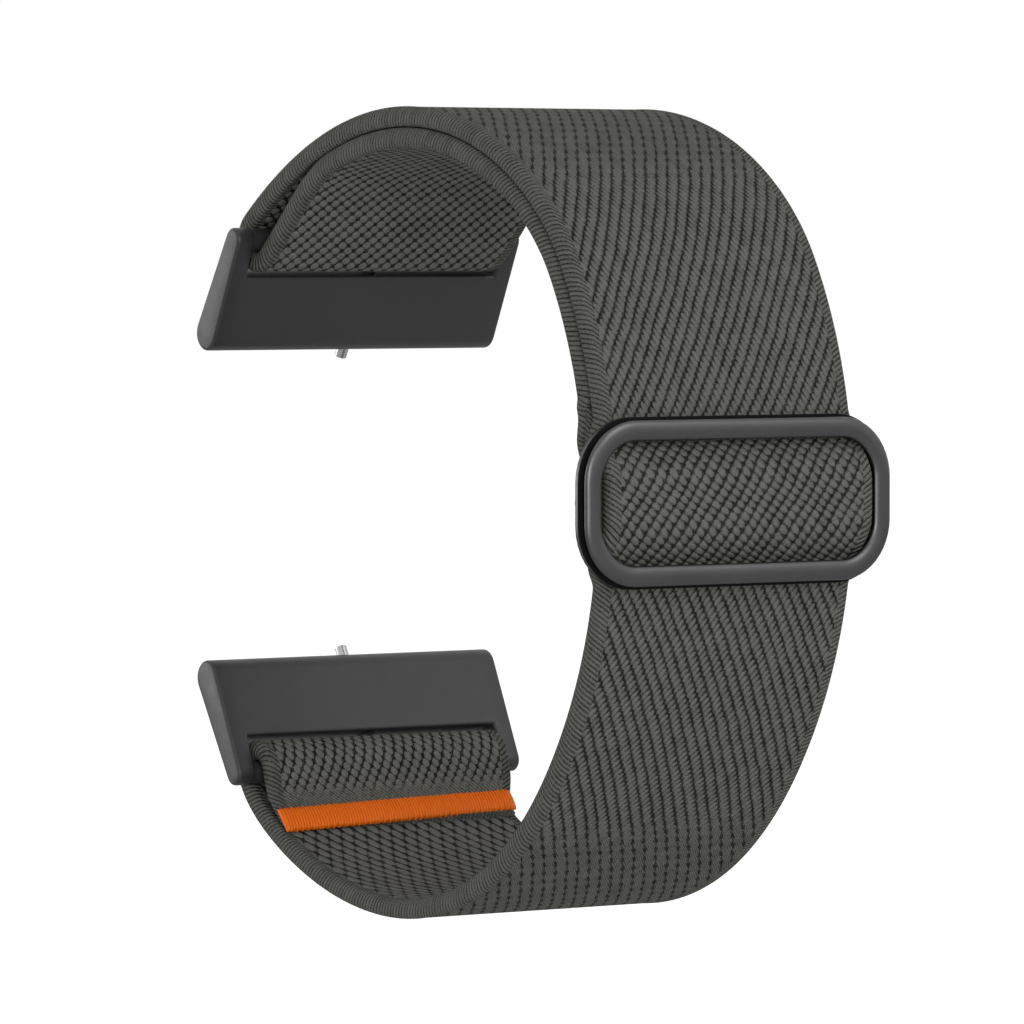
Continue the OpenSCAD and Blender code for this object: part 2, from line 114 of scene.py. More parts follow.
class StrapWebbing(bpy.types.PropertyGroup):
    """The woven band."""
    width: length("Width", "Width of the webbing", 0.0265)
    thickness: length("Thickness", "Thickness of the webbing", 0.0017)
    layer_gap: length("Layer Gap", "Gap between two layers", 0.00015)
    end_thickness: length("Loop Thickness", "Thickness in the loop on the pin", 0.0012)
    end_cut: angle("Loop Cut", "Angle on the arc where the folded end is cut", 11.5)
    cut_thickness: length("Cut Thickness", "Thickness that the folded end is sewn down to", 0.00035)
    taper_from: angle("Taper From", "Angle on the arc where the folded end begins to thin", 7.5)
    thicken_over: angle("Thicken Over", "Angle over which the loop's leg grows to full thickness", 5.5)
    rise_from: angle("Rise From", "Angle past the cut where the loop's leg begins to rise", 0.3)
    rise_over: angle("Rise Over", "Angle over which it rises to the running webbing", 1.5)
    fold_gap: length("Fold Gap", "Gap between a bar and the webbing", 0.00015)
    seam: angle("Seam", "Angle on the arc where the two lengths meet, behind the buckle", 9)
    bead: length("Selvedge", "Width of the rounded edge", 0.00115)
    groove: length("Groove", "Depth of the line beside the edge", 0.00007)
    column: length("Column", "Spacing of the weave across the band", 0.00119)
    row: length("Row", "Spacing of the weave along the band", 0.00048)
    lean_window: plain("Window Lean", "How far a rib in the window moves across for its length", 0.78)
    lean: plain("Lean", "The same outside it, one way above the buckle and the other below", 0.6)
    hump_lean: plain("Hump Lean", "How far a rib moves across for the webbing's rise", 0.62)
    strip_stretch: plain("Strip Stretch", "How much longer the weave is along the flat strips", 0.7)
    pebble: length("Pebble", "Spacing of the bumps on the inner face", 0.0013)
    pebble_row: length("Pebble Row", "Spacing of the inner face's rows", 0.00055)
    edge_thread: length("Edge Thread", "Spacing of the ridges on the edge", 0.00043)
    relief: length("Relief", "Height of the weave", 0.0003)
    strips_from: length("Strips From", "Distance along from the buckle where flat strips begin", 0.027)
    strips_over: length("Strips Over", "Length over which the ropes become strips", 0.007)


class StrapTacks(bpy.types.PropertyGroup):
    """The tail of the webbing and the sewn bars."""
    tail: length("Tail", "Length of the tail behind the lower bar", 0.0075)
    tail_thickness: length("Tail Thickness", "Thickness of the tail where it is sewn", 0.0006)
    tail_width: plain("Tail Width", "Share of its width that the sewn end of the tail keeps", 0.955)
    tail_bend: plain("Tail Bend", "How softly the tail bends", 0.33)
    tack: length("Tack Length", "Length of the orange tack", 0.0255)
    tack_turn: angle("Tack Turn", "How far the orange tack lies askew", 2.2)
    tack_width: length("Tack Width", "Width of the orange tack", 0.0024)
    tack_height: length("Tack Height", "Height of the orange tack", 0.0005)
    thread: length("Thread", "Spacing of the tack's threads", 0.00031)
    end_tack: length("Inner Tack Length", "Length of the tack on the loop's end", 0.022)
    end_tack_width: length("Inner Tack Width", "Width of the tack on the loop's end", 0.0018)
    end_tack_height: length("Inner Tack Height", "Height of the tack on the loop's end", 0.00045)
    end_tack_back: angle("Inner Tack Place", "How far before the loop's cut end its tack lies", 1.3)


class StrapBuckle(bpy.types.PropertyGroup):
    """The slider buckle."""
    width: length("Width", "Width of the bezel", 0.0322)
    height: length("Height", "Height of the bezel", 0.014)
    section: length("Section", "Width of the bezel's section", 0.00175)
    depth: length("Depth", "Depth of the bezel's section", 0.0008)
    corner: length("Corner", "Radius of the bezel's corners", 0.0052)
    lift: length("Lift", "From the webbing's arc to the bezel", 0.0018)
    step: length("Step", "Gap between the bezel and its plate", 0.0002)
    step_inset: length("Step Inset", "How far the step lies inside the outline", 0.0004)
    plate: length("Plate", "Thickness of the back plate", 0.0005)
    rim: length("Rim", "How far the plate stands out past the bezel", 0.00025)
    bar: length("Plate Bar", "Width of the plate's upper and lower bars", 0.0019)
    side_gap: length("Side Gap", "Gap between the webbing and the plate", 0.0001)
    plate_edge: length("Plate Edge", "Width of the plate's softened edges", 0.00006)
    window_corner: length("Window Corner", "Radius of the plate's inner corners", 0.0023)
    pin: length("Pin Radius", "Radius of the pin", 0.0007)
    ear_gap: length("Ear Gap", "Gap between the webbing and an ear", 0.00015)
    ear: length("Ear", "Thickness of an ear", 0.00075)
    ear_edge: length("Ear Edge", "Width of an ear's softened edges", 0.00012)
    ear_wall: length("Ear Wall", "Wall of an ear round the pin", 0.0005)
    foot: length("Foot", "Length of an ear's foot behind the plate", 0.0015)
    foot_thickness: length("Foot Thickness", "Thickness of an ear's foot", 0.0008)
    foot_height: length("Foot Height", "Height of an ear's foot", 0.0048)
    foot_drop: length("Foot Drop", "From the plate's back to the foot's reach behind the webbing", 0.00025)


class StrapAdapter(bpy.types.PropertyGroup):
    """The two lug adapters."""
    lean: angle("Lean", "Lean of the adapters", 28)
    bar: length("Bar Radius", "Radius of the bar that the webbing goes round", 0.001)
    tip: length("Tip Radius", "Radius of an arm's tip", 0.0011)
    rail: length("Rail Radius", "Radius of the lug rail", 0.0016)
    reach: length("Reach", "From the bar to the lug rail", 0.0095)
    arm: length("Arm Width", "Width of an arm", 0.0019)
    arm_gap: length("Arm Gap", "Gap between the webbing and an arm", 0.0003)
    slot_gap: length("Slot Gap", "Gap between the fold and the slot's far wall", 0.00035)
    edge: length("Edge", "Width of the softened edges", 0.0003)
    shoulder: length("Shoulder", "Wall that the catch rests on", 0.0012)
    plug: length("Plug", "Length of the plug above the spring", 0.0012)
    head: length("Head", "Length of the catch's head", 0.0016)
    coil: length("Coil Radius", "Radius of the spring's coil", 0.00075)
    wire: length("Wire", "Thickness of the spring's wire", 0.0002)
    turns: plain("Turns", "Number of the spring's turns", 5)


class StrapColours(bpy.types.PropertyGroup):
    """Colours of the finishes."""
    thread: colour("Webbing", "Top of the webbing's threads", (0.175, 0.176, 0.158))
    # Painted shade: the near-black colour that the weave's low parts and the grey tack's lines fade to
    gap: colour("Webbing Gaps", "Between the webbing's threads", (0.012, 0.012, 0.011))
    orange: colour("Orange Thread", "Thread of the tail's tack", (1.0, 0.19, 0.005))
    # Painted shade: the darker orange of the lines between the tack's threads
    orange_gap: colour("Orange Gaps", "Between the orange threads", (0.75, 0.11, 0.003))
    metal: colour("Buckle", "Satin finish of the buckle", (0.09, 0.09, 0.091))
    pin: colour("Pin", "Finish of the pin", (0.036, 0.036, 0.037))
    # Painted shade: near black, for the shade in the groove between the bezel and its plate
    groove: colour("Plate Groove", "Dark step between the bezel and its plate", (0.006, 0.006, 0.006))
    adapter: colour("Adapters", "Satin black of the adapters", (0.033, 0.033, 0.034))
    steel: colour("Steel", "Springs, plugs and catches", (0.45, 0.45, 0.46))
    floor: colour("Floor", "Pale floor", (0.9, 0.9, 0.9))


class StrapStage(bpy.types.PropertyGroup):
    """Camera, lamps and floor."""
    azimuth: angle("Azimuth", "Direction of the view", -35)
    elevation: angle("Elevation", "Height of the view", 2.2)
    distance: length("Distance", "From the camera to the origin", 0.6206)
    across: length("Across", "Sideways place of the camera", 0.00269)
    down: length("Down", "Vertical place of the camera", -0.00006)
    lens: FloatProperty(name="Lens", description="Focal length in millimetres", default=247.7, min=1)
    floor_drop: length("Floor", "Depth of the floor under the origin", 0.075)
    key: plain("Key Lamp", "Power of the main lamp, in watts", 0.8)
    fill: plain("Fill Lamp", "Power of the second lamp, in watts", 1.5)
    rim: plain("Rim Lamp", "Power of the lamp behind, in watts", 1.1)
    sky: plain("Sky", "Strength of the even light from all round", 0.46)
    lamp_size: length("Lamp Size", "Width of the lamps", 0.3)


def settings():
    """The sizes and colours of the strap in this scene."""
    return bpy.context.scene.watch_strap


class StrapSettings(bpy.types.PropertyGroup):
    """All sizes and colours of the strap."""
    loop: PointerProperty(type=StrapLoop)
    webbing: PointerProperty(type=StrapWebbing)
    tacks: PointerProperty(type=StrapTacks)
    buckle: PointerProperty(type=StrapBuckle)
    adapter: PointerProperty(type=StrapAdapter)
    colours: PointerProperty(type=StrapColours)
    stage: PointerProperty(type=StrapStage)
    steps: IntProperty(name="Steps", description="Steps along each curve of webbing", default=90, min=20,
                       max=200)


def smooth(x):
    """A smooth step from 0 to 1."""
    c = min(max(x, 0.0), 1.0)
    return c * c * (3 - 2 * c)


def mix(a, b, x):
    """A value between a and b."""
    return a * (1 - x) + b * x


def span(start, stop, steps):
    """Evenly spaced values, with both ends."""
    return [start + (stop - start) * i / steps for i in range(steps + 1)]


def bezier(c, t):
    """A point on a curve with four control points."""
    s = 1 - t
    return s ** 3 * c[0] + 3 * s * s * t * c[1] + 3 * s * t * t * c[2] + t ** 3 * c[3]


def bezier_slope(c, t):
    """The slope of such a curve."""
    s = 1 - t
    return 3 * s * s * (c[1] - c[0]) + 6 * s * t * (c[2] - c[1]) + 3 * t * t * (c[3] - c[2])


def heading(turn):
    """The direction of travel after a turn, as Y and Z of the upper half."""
    return Vector((math.sin(turn), math.cos(turn)))


def outward(d):
    """The direction away from the wrist, for a direction of travel."""
    return Vector((-d.y, d.x))


def axes_at(spot, right, up, ahead):
    """A place with its three axes."""
    return Matrix.Translation(spot) @ Matrix((right, up, ahead)).transposed().to_4x4()


class Route:
    """The route of one half of the webbing, in Y and Z, as it runs in the upper half."""

    def __init__(self, side):
        s = settings()
        self.side = side
        self.loop = s.loop
        self.webbing = s.webbing
        self.tacks = s.tacks
        self.steps = s.steps
        self.pin_hole = s.buckle.pin + PIN_AIR
        self.centre_y = s.loop.arc_radius - s.loop.front
        self.hump_angle = math.asin(s.loop.hump_half / s.loop.arc_radius)
        self.fold_radius = s.adapter.bar + s.webbing.fold_gap + s.webbing.thickness / 2
        upper = (s.loop.upper_turn, s.loop.upper_lead, s.loop.upper_trail)
        lower = (s.loop.lower_turn, s.loop.lower_lead, s.loop.lower_trail)
        self.turn, lead, trail = upper if side == UPPER else lower
        self.bar = Vector((s.loop.bar_back, s.loop.bar_half - side * s.loop.rise))
        start = self.on_arc(s.loop.arc_radius, s.loop.arc_half)
        end = self.bar + self.fold_radius * outward(heading(self.turn))
        self.curve = [start, start + lead * heading(s.loop.arc_half), end - trail * heading(self.turn), end]

    def on_arc(self, radius, a):
        """A point on the arc behind the buckle."""
        return Vector((self.centre_y - radius * math.cos(a), radius * math.sin(a)))

    def beside(self, t, off):
        """A point on the curve to the bar, moved outwards."""
        return bezier(self.curve, t) + off * outward(bezier_slope(self.curve, t).normalized())

    def risen(self, a):
        """Share of the hump over the pin that the webbing has reached at an angle."""
        level = math.asin(self.loop.hump_flat / self.loop.arc_radius)
        return smooth((self.hump_angle - abs(a)) / (self.hump_angle - level))

    def over_pin(self, a):
        """Radius of the running webbing's middle."""
        return self.loop.arc_radius + self.loop.hump * self.risen(a)

    def under_run(self, a):
        """Radius of the running webbing's inner face."""
        return self.over_pin(a) - self.webbing.thickness / 2

    def pin_room(self, a):
        """Room for the pin between the loop's two layers."""
        if abs(a) >= self.hump_angle:
            return 0.0
        return 2 * self.pin_hole * math.cos(math.pi / 2 * a / self.hump_angle) ** 2

    def pin_y(self):
        """Where the pin is, inside the loop that lies under the running webbing."""
        under = self.webbing.layer_gap + self.webbing.end_thickness + self.pin_hole
        return self.centre_y - self.under_run(0) + under

    def outer(self, start):
        """From an angle on the arc along the arc and the curve to the bar."""
        full = self.webbing.thickness
        points = [(self.on_arc(self.over_pin(a), a), full, self.widened(a))
                  for a in span(start, self.loop.arc_half, ARC_STEPS)]
        return points + [(self.beside(t, 0), full, 1) for t in span(0, 1, self.steps)[1:]]

    def widened(self, a):
        """Width at an angle as a share of the webbing's, at its most in the buckle's window."""
        buckle = settings().buckle
        window = math.asin((buckle.height / 2 + buckle.rim - buckle.bar) / self.loop.arc_radius)
        share = smooth((self.loop.bridge_half - abs(a)) / (self.loop.bridge_half - window))
        return 1 + share * 2 * self.loop.spread / self.webbing.width

    def fold(self):
        """Half a turn round the bar."""
        ahead = heading(self.turn)
        away = outward(ahead)
        return [(self.bar + self.fold_radius * (math.cos(a) * away + math.sin(a) * ahead),
                 self.webbing.thickness, 1) for a in span(0, math.pi, 20)[1:]]

    def inner(self):
        """The inner layer, from the upper bar back to the arc."""
        full = self.webbing.thickness
        lying = -full / 2 - self.webbing.layer_gap
        folded = full / 2 - 2 * self.fold_radius
        points = []
        for t in span(1, 0, self.steps)[1:]:
            share = smooth((t - self.loop.part_share) / (1 - self.loop.part_share))
            off = mix(lying, folded, share) - full / 2
            points.append((self.beside(t, off), full, 1))
        return points

    def folded(self, a):
        """Thickness of the folded end at an angle."""
        w = self.webbing
        share = smooth((a - w.taper_from) / (w.end_cut - w.taper_from))
        return mix(w.end_thickness, w.cut_thickness, share)

    def leg(self, a):
        """Outer radius and thickness at an angle of the leg that comes from the pin."""
        w = self.webbing
        below = self.under_run(a) - w.layer_gap - self.folded(a) - self.pin_room(a)
        beyond = smooth((a - w.end_cut - w.rise_from) / w.rise_over)
        top = mix(below, self.loop.arc_radius - w.thickness / 2 - w.layer_gap, beyond)
        return top, mix(w.end_thickness, w.thickness, smooth((a - w.taper_from) / w.thicken_over))

    def loop_end(self):
        """The inner layer's last stretch, the loop round the pin and its folded end."""
        thin = self.webbing.end_thickness
        gap = self.webbing.layer_gap
        pin = Vector((self.pin_y(), 0))
        points = []
        for a in span(self.loop.arc_half, 0, 80)[1:]:
            top, thick = self.leg(a)
            points.append((self.on_arc(top - thick / 2, a), thick, 1))
        for a in span(0, math.pi, 16)[1:]:
            away = Vector((math.cos(a), -math.sin(a)))
            points.append((pin + (self.pin_hole + thin / 2) * away, thin, 1))
        for a in span(0, self.webbing.end_cut, 24)[1:]:
            thick = self.folded(a)
            points.append((self.on_arc(self.under_run(a) - gap - thick / 2, a), thick, 1))
        return points

    def tail_curve(self):
        """The four control points of the tail behind the lower bar."""
        low = 0.0
        high = 1.0
        for _ in range(30):
            mid = (low + high) / 2
            if (self.curve[3] - bezier(self.curve, mid)).length > self.tacks.tail:
                low = mid
            else:
                high = mid
        flat = bezier_slope(self.curve, low).normalized()
        d = heading(self.turn)
        start = self.bar - self.fold_radius * outward(d)
        depth = self.webbing.thickness / 2 + SEAT + self.tacks.tail_thickness / 2
        end = bezier(self.curve, low) - depth * outward(flat)
        lead = self.tacks.tail_bend * (end - start).length
        return [start, start - lead * d, end + lead * flat, end]

    def tail_thickness(self, u):
        """Thickness of the tail, which is sewn down towards its end."""
        return mix(self.webbing.thickness, self.tacks.tail_thickness, smooth(u))

    def tail(self):
        """The tail, thinner and a little narrower towards its sewn end."""
        c = self.tail_curve()
        narrow_from, narrow_over = 0.3, 0.6
        points = []
        for u in span(0, 1, 24)[1:]:
            wide = mix(1, self.tacks.tail_width, smooth((u - narrow_from) / narrow_over))
            points.append((bezier(c, u), self.tail_thickness(u), wide))
        return points

    def place(self, p):
        """A point of the upper half's drawing in the scene, for either half."""
        return Vector((0, p.x, self.loop.rise + self.side * p.y))

    def stations(self, points, start):
        """Frames along the points, each with its distance from the buckle's middle.

        Near the buckle that is the distance along the arc, so that the hump doesn't stretch the weave."""
        spots = [self.place(p) for p, _, _ in points]
        result = []
        along = self.loop.arc_radius * start
        before = start
        for i, (_, thick, wide) in enumerate(points):
            flat = spots[i] - Vector((0, self.centre_y, self.loop.rise))
            at = math.atan2(self.side * flat.z, -flat.y)
            if i and along < self.webbing.width / 2:
                along += self.loop.arc_radius * (at - before)
            elif i:
                along += (spots[i] - spots[i - 1]).length
            before = at
            ahead = (spots[min(i + 1, len(spots) - 1)] - spots[max(i - 1, 0)]).normalized()
            away = self.side * Vector((0, -ahead.z, ahead.y))
            sized = (Vector((wide, 0, 0)), away * thick / self.webbing.thickness, ahead)
            result.append((axes_at(spots[i], *sized), along))
        return result


def to_mesh(bm, name):
    """A mesh from a bmesh, which is then done with."""
    mesh = bpy.data.meshes.new(name)
    bm.to_mesh(mesh)
    bm.free()
    return mesh


def new_object(name, data):
    """A new object in the scene."""
    made = bpy.data.objects.new(name, data)
    bpy.context.scene.collection.objects.link(made)
    return made


def finish_piece(bm, name, body, finishes, replaced=(), sharp=40):
    """Turns a bmesh into a finished piece. It rides on a body, or stands free when no body is given."""
    bmesh.ops.recalc_face_normals(bm, faces=bm.faces)
    mesh = to_mesh(bm, name)
    for finish in finishes:
        mesh.materials.append(finish)
    for polygon in mesh.polygons:
        polygon.use_smooth = True
    mesh.set_sharp_from_angle(angle=math.radians(sharp))
    piece = new_object(name, mesh)
    if body:
        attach(piece, body)
    if replaced:
        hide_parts(*replaced)
    return piece


def new_verts(made):
    """The vertices among what an operator made."""
    return [g for g in made if isinstance(g, bmesh.types.BMVert)]


def ring_edges(bm, ring):
    """Joins vertices to a closed ring."""
    return [bm.edges.new((ring[i], ring[(i + 1) % len(ring)])) for i in range(len(ring))]


def sweep(bm, outline, places, closed=False):
    """Draws an outline through the places. Each vertex keeps its point's number and its place's."""
    point = bm.verts.layers.int.new("point")
    number = bm.verts.layers.int.new("number")
    ring = []
    for i, (x, y) in enumerate(outline):
        v = bm.verts.new(places[0] @ Vector((x, y, 0)))
        v[point] = i
        ring.append(v)
    edges = ring_edges(bm, ring)
    first = list(edges)
    for i in range(1, len(places)):
        made = bmesh.ops.extrude_edge_only(bm, edges=edges)["geom"]
        verts = new_verts(made)
        new = set(verts)
        edges = [g for g in made if isinstance(g, bmesh.types.BMEdge) and set(g.verts) <= new]
        bmesh.ops.transform(bm, matrix=places[i] @ places[i - 1].inverted(), verts=verts)
        for v in verts:
            v[number] = i
    if closed:
        bmesh.ops.remove_doubles(bm, verts=bm.verts, dist=1e-6)
    else:
        for loop in (first, edges):
            bmesh.ops.edgeloop_fill(bm, edges=loop)


def push_out(bm, faces, shift):
    """Draws faces out to a solid."""
    made = bmesh.ops.extrude_face_region(bm, geom=faces)["geom"]
    bmesh.ops.translate(bm, verts=new_verts(made), vec=shift)


def prism(bm, outline, from_x, to_x):
    """A solid with one outline in Y and Z, from one X to another."""
    face = bm.faces.new([bm.verts.new((from_x, y, z)) for y, z in outline])
    push_out(bm, [face], (to_x - from_x, 0, 0))


def soften(bm, width, segments=2):
    """Rounds every edge sharper than 50 degrees."""
    edges = [e for e in bm.edges if len(e.link_faces) == 2 and e.calc_face_angle(0) > math.radians(50)]
    bmesh.ops.bevel(bm, geom=edges, offset=width, offset_type="OFFSET", segments=segments, profile=0.5,
                    affect="EDGES", clamp_overlap=True, material=-1)


def round_corners(half_w, half_h, radius, steps):
    """Points and outward directions on the four round corners of a rectangle, in X and Z."""
    path = []
    for sx, sz, start in ((1, 1, 0), (-1, 1, 90), (-1, -1, 180), (1, -1, 270)):
        middle = Vector((sx * (half_w - radius), 0, sz * (half_h - radius)))
        for a in span(math.radians(start), math.radians(start + 90), steps):
            away = Vector((math.cos(a), 0, math.sin(a)))
            path.append((middle + radius * away, away))
    return path


def ring_places(half_w, half_h, radius, y):
    """Frames round such a rectangle, with more on its straight sides.

    Their first axis points outwards and their second one to the front."""
    front = Vector((0, -1, 0))
    shift = Vector((0, y, settings().loop.rise))
    corners = round_corners(half_w, half_h, radius, 12)
    path = []
    for i, (spot, away) in enumerate(corners):
        path.append((spot, away))
        after = corners[(i + 1) % len(corners)][0]
        if (after - spot).length > radius / 2:
            path += [(spot.lerp(after, share), away) for share in span(0, 1, 6)[1:-1]]
    return [axes_at(spot + shift, away, front, away.cross(front)) for spot, away in path + path[:1]]


def band_outline():
    """The webbing's section: flat faces, a fine groove and a rounded edge on each side.

    Each point has its distance round the section from the middle of the outer face."""
    w = settings().webbing
    top = w.thickness / 2
    groove_x = w.width / 2 - w.bead
    bead_x = w.width / 2 - w.bead / 2
    near, far = 0.0002, 0.0005
    bulge = 0.00004
    face = [(x, top) for x in span(0, groove_x - far, 6)]
    face += [(groove_x - near, top - w.groove * 0.5), (groove_x, top - w.groove),
             (groove_x + near, top - w.groove * 0.4), (groove_x + far, top)]
    right = face + [(bead_x + w.bead / 2 * math.sin(a), (top + bulge) * math.cos(a))
                    for a in span(0.1, math.pi - 0.1, 12)]
    right += [(x, -y) for x, y in reversed(face)]
    placed = [(*right[0], 0.0)]
    for before, spot in zip(right, right[1:]):
        placed.append((*spot, placed[-1][2] + math.dist(before, spot)))
    return placed + [(-x, y, -d) for x, y, d in reversed(placed[1:-1])]


def rib_slope(v):
    """How the ribs lean at a distance above the buckle's middle. The lean changes behind the bezel."""
    w = settings().webbing
    changes_from, changes_over = 0.004, 0.006
    if v > -w.width / 4:
        return mix(w.lean_window, w.lean, smooth((v - changes_from) / changes_over))
    return -w.lean


def weave_drift(route, runs):
    """How far across the ribs have moved at each distance, and how far along the slower rows have come."""
    w = route.webbing
    turned = [0.0]
    paced = [runs[0]]
    for before, at in zip(runs, runs[1:]):
        turned.append(turned[-1] + rib_slope(route.side * (at + before) / 2) * route.side * (at - before))
        slower = 1 + w.strip_stretch * smooth((abs(at) - w.strips_from) / w.strips_over / 2)
        paced.append(paced[-1] + (at - before) / slower)
    humps = [route.loop.hump * route.risen(at / route.loop.arc_radius) for at in runs]
    return [t - w.hump_lean * (hump - humps[0]) for t, hump in zip(turned, humps)], paced


def lay_band(name, route, stations, finishes, pebbled_from, calm_end, patterns, replaced):
    """Lays one length of webbing. Its outer face turns from ribbed to pebbled at a distance along it.

    The patterns are the width, length and lean of the bumps before that distance and beyond it."""
    w = route.webbing
    outline = band_outline()
    runs = [at for _, at in stations]
    bm = bmesh.new()
    sweep(bm, [(x, y) for x, y, _ in outline], [place for place, _ in stations])
    point = bm.verts.layers.int["point"]
    number = bm.verts.layers.int["number"]
    calm = bm.verts.layers.float.new("calm")
    strips = bm.verts.layers.float.new("strips")
    calm_over = 0.0025
    for v in bm.verts:
        at = runs[v[number]]
        v[strips] = smooth((abs(at) - w.strips_from) / w.strips_over)
        v[calm] = smooth((at - runs[-1] + calm_end) / calm_over) if calm_end else 0.0
    weave = bm.loops.layers.uv.new("weave")
    drift, paced = weave_drift(route, runs)
    flat_to = w.width / 2 - w.bead
    for face in bm.faces:
        count = len(face.verts)
        off_middle = sum(abs(outline[v[point]][0]) for v in face.verts) / count
        round_middle = sum(abs(outline[v[point]][2]) for v in face.verts) / count
        run = sum(runs[v[number]] for v in face.verts) / count
        if off_middle > flat_to:
            face.material_index = EDGE
        elif round_middle < flat_to + w.bead and run < pebbled_from:
            face.material_index = RIBBED
        else:
            face.material_index = PEBBLED
        for corner in face.loops:
            x, _, around = outline[corner.vert[point]]
            at = corner.vert[number]
            if face.material_index == RIBBED:
                spot = (x - drift[at], route.side * paced[at])
            elif face.material_index == EDGE:
                spot = (around, route.side * runs[at])
            else:
                wide, long, lean = patterns[run >= pebbled_from]
                along = route.side * runs[at]
                spot = ((x + lean * along) / wide, along / long)
            corner[weave].uv = (spot[0] * MM, spot[1] * MM)
    return finish_piece(bm, name, None, finishes, replaced)


class Wires:
    """Makes the nodes of a finish."""

    def __init__(self, name):
        self.material = bpy.data.materials.new(name)
        self.material.use_nodes = True
        self.tree = self.material.node_tree
        self.shader = self.tree.nodes["Principled BSDF"]

    def add(self, kind, **values):
        """A node with some of its values set."""
        node = self.tree.nodes.new(kind)
        for key, value in values.items():
            setattr(node, key, value)
        return node

    def join(self, source, target):
        """Links a socket, or sets it to a value."""
        if isinstance(source, (int, float, tuple)):
            target.default_value = source
        else:
            self.tree.links.new(source, target)

    def maths(self, operation, *values):
        """The result of one sum."""
        node = self.add("ShaderNodeMath", operation=operation)
        for value, socket in zip(values, node.inputs):
            self.join(value, socket)
        return node.outputs[0]

    def plus(self, first, second):
        """Two values added."""
        return self.maths("ADD", first, second)

    def times(self, first, second):
        """Two values multiplied."""
        return self.maths("MULTIPLY", first, second)

    def line(self, value, slope, base):
        """A value times a slope, added to a base."""
        return self.maths("MULTIPLY_ADD", value, slope, base)

    def rest(self, share):
        """What a share leaves of 1."""
        return self.maths("SUBTRACT", 1.0, share)

    def parts(self, vector):
        """A vector's three numbers."""
        node = self.add("ShaderNodeSeparateXYZ")
        self.join(vector, node.inputs[0])
        return node.outputs[0], node.outputs[1], node.outputs[2]

    def weave_place(self):
        """Distances across and along the band, in millimetres."""
        return self.parts(self.add("ShaderNodeUVMap", uv_map="weave").outputs[0])[:2]

    def stored_value(self, name):
        """A value that was kept on the mesh."""
        return self.add("ShaderNodeAttribute", attribute_name=name).outputs["Fac"]

    def centred(self, value, period):
        """Place within each period, from -0.5 to 0.5."""
        return self.maths("SUBTRACT", self.maths("FRACT", self.maths("DIVIDE", value, period)), 0.5)

    def away(self, value, reach, power):
        """How far a place is from the middle, from 0 there to 1 at its reach and beyond."""
        share = self.maths("DIVIDE", self.maths("ABSOLUTE", value), reach)
        return self.maths("POWER", self.maths("MINIMUM", share, 1.0), power)

    def between(self, share, first, second):
        """A value between two."""
        return self.line(self.maths("SUBTRACT", second, first), share, first)

    def object_place(self):
        """The place on the piece."""
        return self.add("ShaderNodeTexCoord").outputs["Object"]

    def noise(self, place, scale, detail=2.0):
        """Soft unevenness from 0 to 1."""
        node = self.add("ShaderNodeTexNoise")
        node.inputs["Scale"].default_value = scale
        node.inputs["Detail"].default_value = detail
        self.join(place, node.inputs["Vector"])
        return node.outputs[0]

    def cell(self, *places):
        """A whole number for each place, as one vector."""
        node = self.add("ShaderNodeCombineXYZ")
        for place, socket in zip(places, node.inputs):
            self.join(self.maths("FLOOR", place), socket)
        return node.outputs[0]

    def ramp(self, value, low, high):
        """A value stretched so that low becomes 0 and high becomes 1."""
        node = self.add("ShaderNodeMapRange", interpolation_type="SMOOTHSTEP")
        self.join(value, node.inputs[0])
        node.inputs[1].default_value = low
        node.inputs[2].default_value = high
        return node.outputs[0]

    def paint(self, share, first, second):
        """Gives the shader a colour between two."""
        node = self.add("ShaderNodeMix", data_type="RGBA")
        self.join(share, node.inputs[0])
        self.join((*first, 1.0), node.inputs[6])
        self.join((*second, 1.0), node.inputs[7])
        self.join(node.outputs[2], self.shader.inputs["Base Color"])

    def relief(self, height, depth):
        """A raised pattern on the surface."""
        node = self.add("ShaderNodeBump")
        node.inputs["Distance"].default_value = depth
        self.join(height, node.inputs["Height"])
        self.join(node.outputs[0], self.shader.inputs["Normal"])

    def set(self, **values):
        """Sets values of the shader, such as Roughness."""
        for key, value in values.items():
            self.join(value, self.shader.inputs[key.replace("_", " ")])


def cloth_finish(wires, height, cell, bright=1.0):
    """Gives a woven height its colour, fibres and relief. The cell tells its threads apart."""
    s = settings()
    place = wires.object_place()
    uneven = wires.noise(place, 600.0)
    fibres = wires.ramp(wires.noise(place, 8000.0, detail=3.0), 0.32, 0.68)
    odd = wires.add("ShaderNodeTexWhiteNoise", noise_dimensions="3D")
    wires.join(cell, odd.inputs["Vector"])
    # Painted shade: the lower the weave, the nearer its colour comes to the near-black gap colour
    tone = wires.ramp(height, 0.05, 0.8)
    for part, slope, base in ((uneven, 0.4, -0.2), (fibres, 0.6, -0.32), (odd.outputs[0], 0.26, -0.13)):
        tone = wires.plus(tone, wires.line(part, slope, base))
    tone = wires.maths("MINIMUM", wires.maths("MAXIMUM", tone, 0.0), 1.15)
    wires.paint(tone, s.colours.gap, [c * bright for c in s.colours.thread])
    wires.set(Roughness=0.85, Specular_IOR_Level=0.12)
    wires.relief(wires.line(fibres, 0.22, height), s.webbing.relief)
    return wires.material


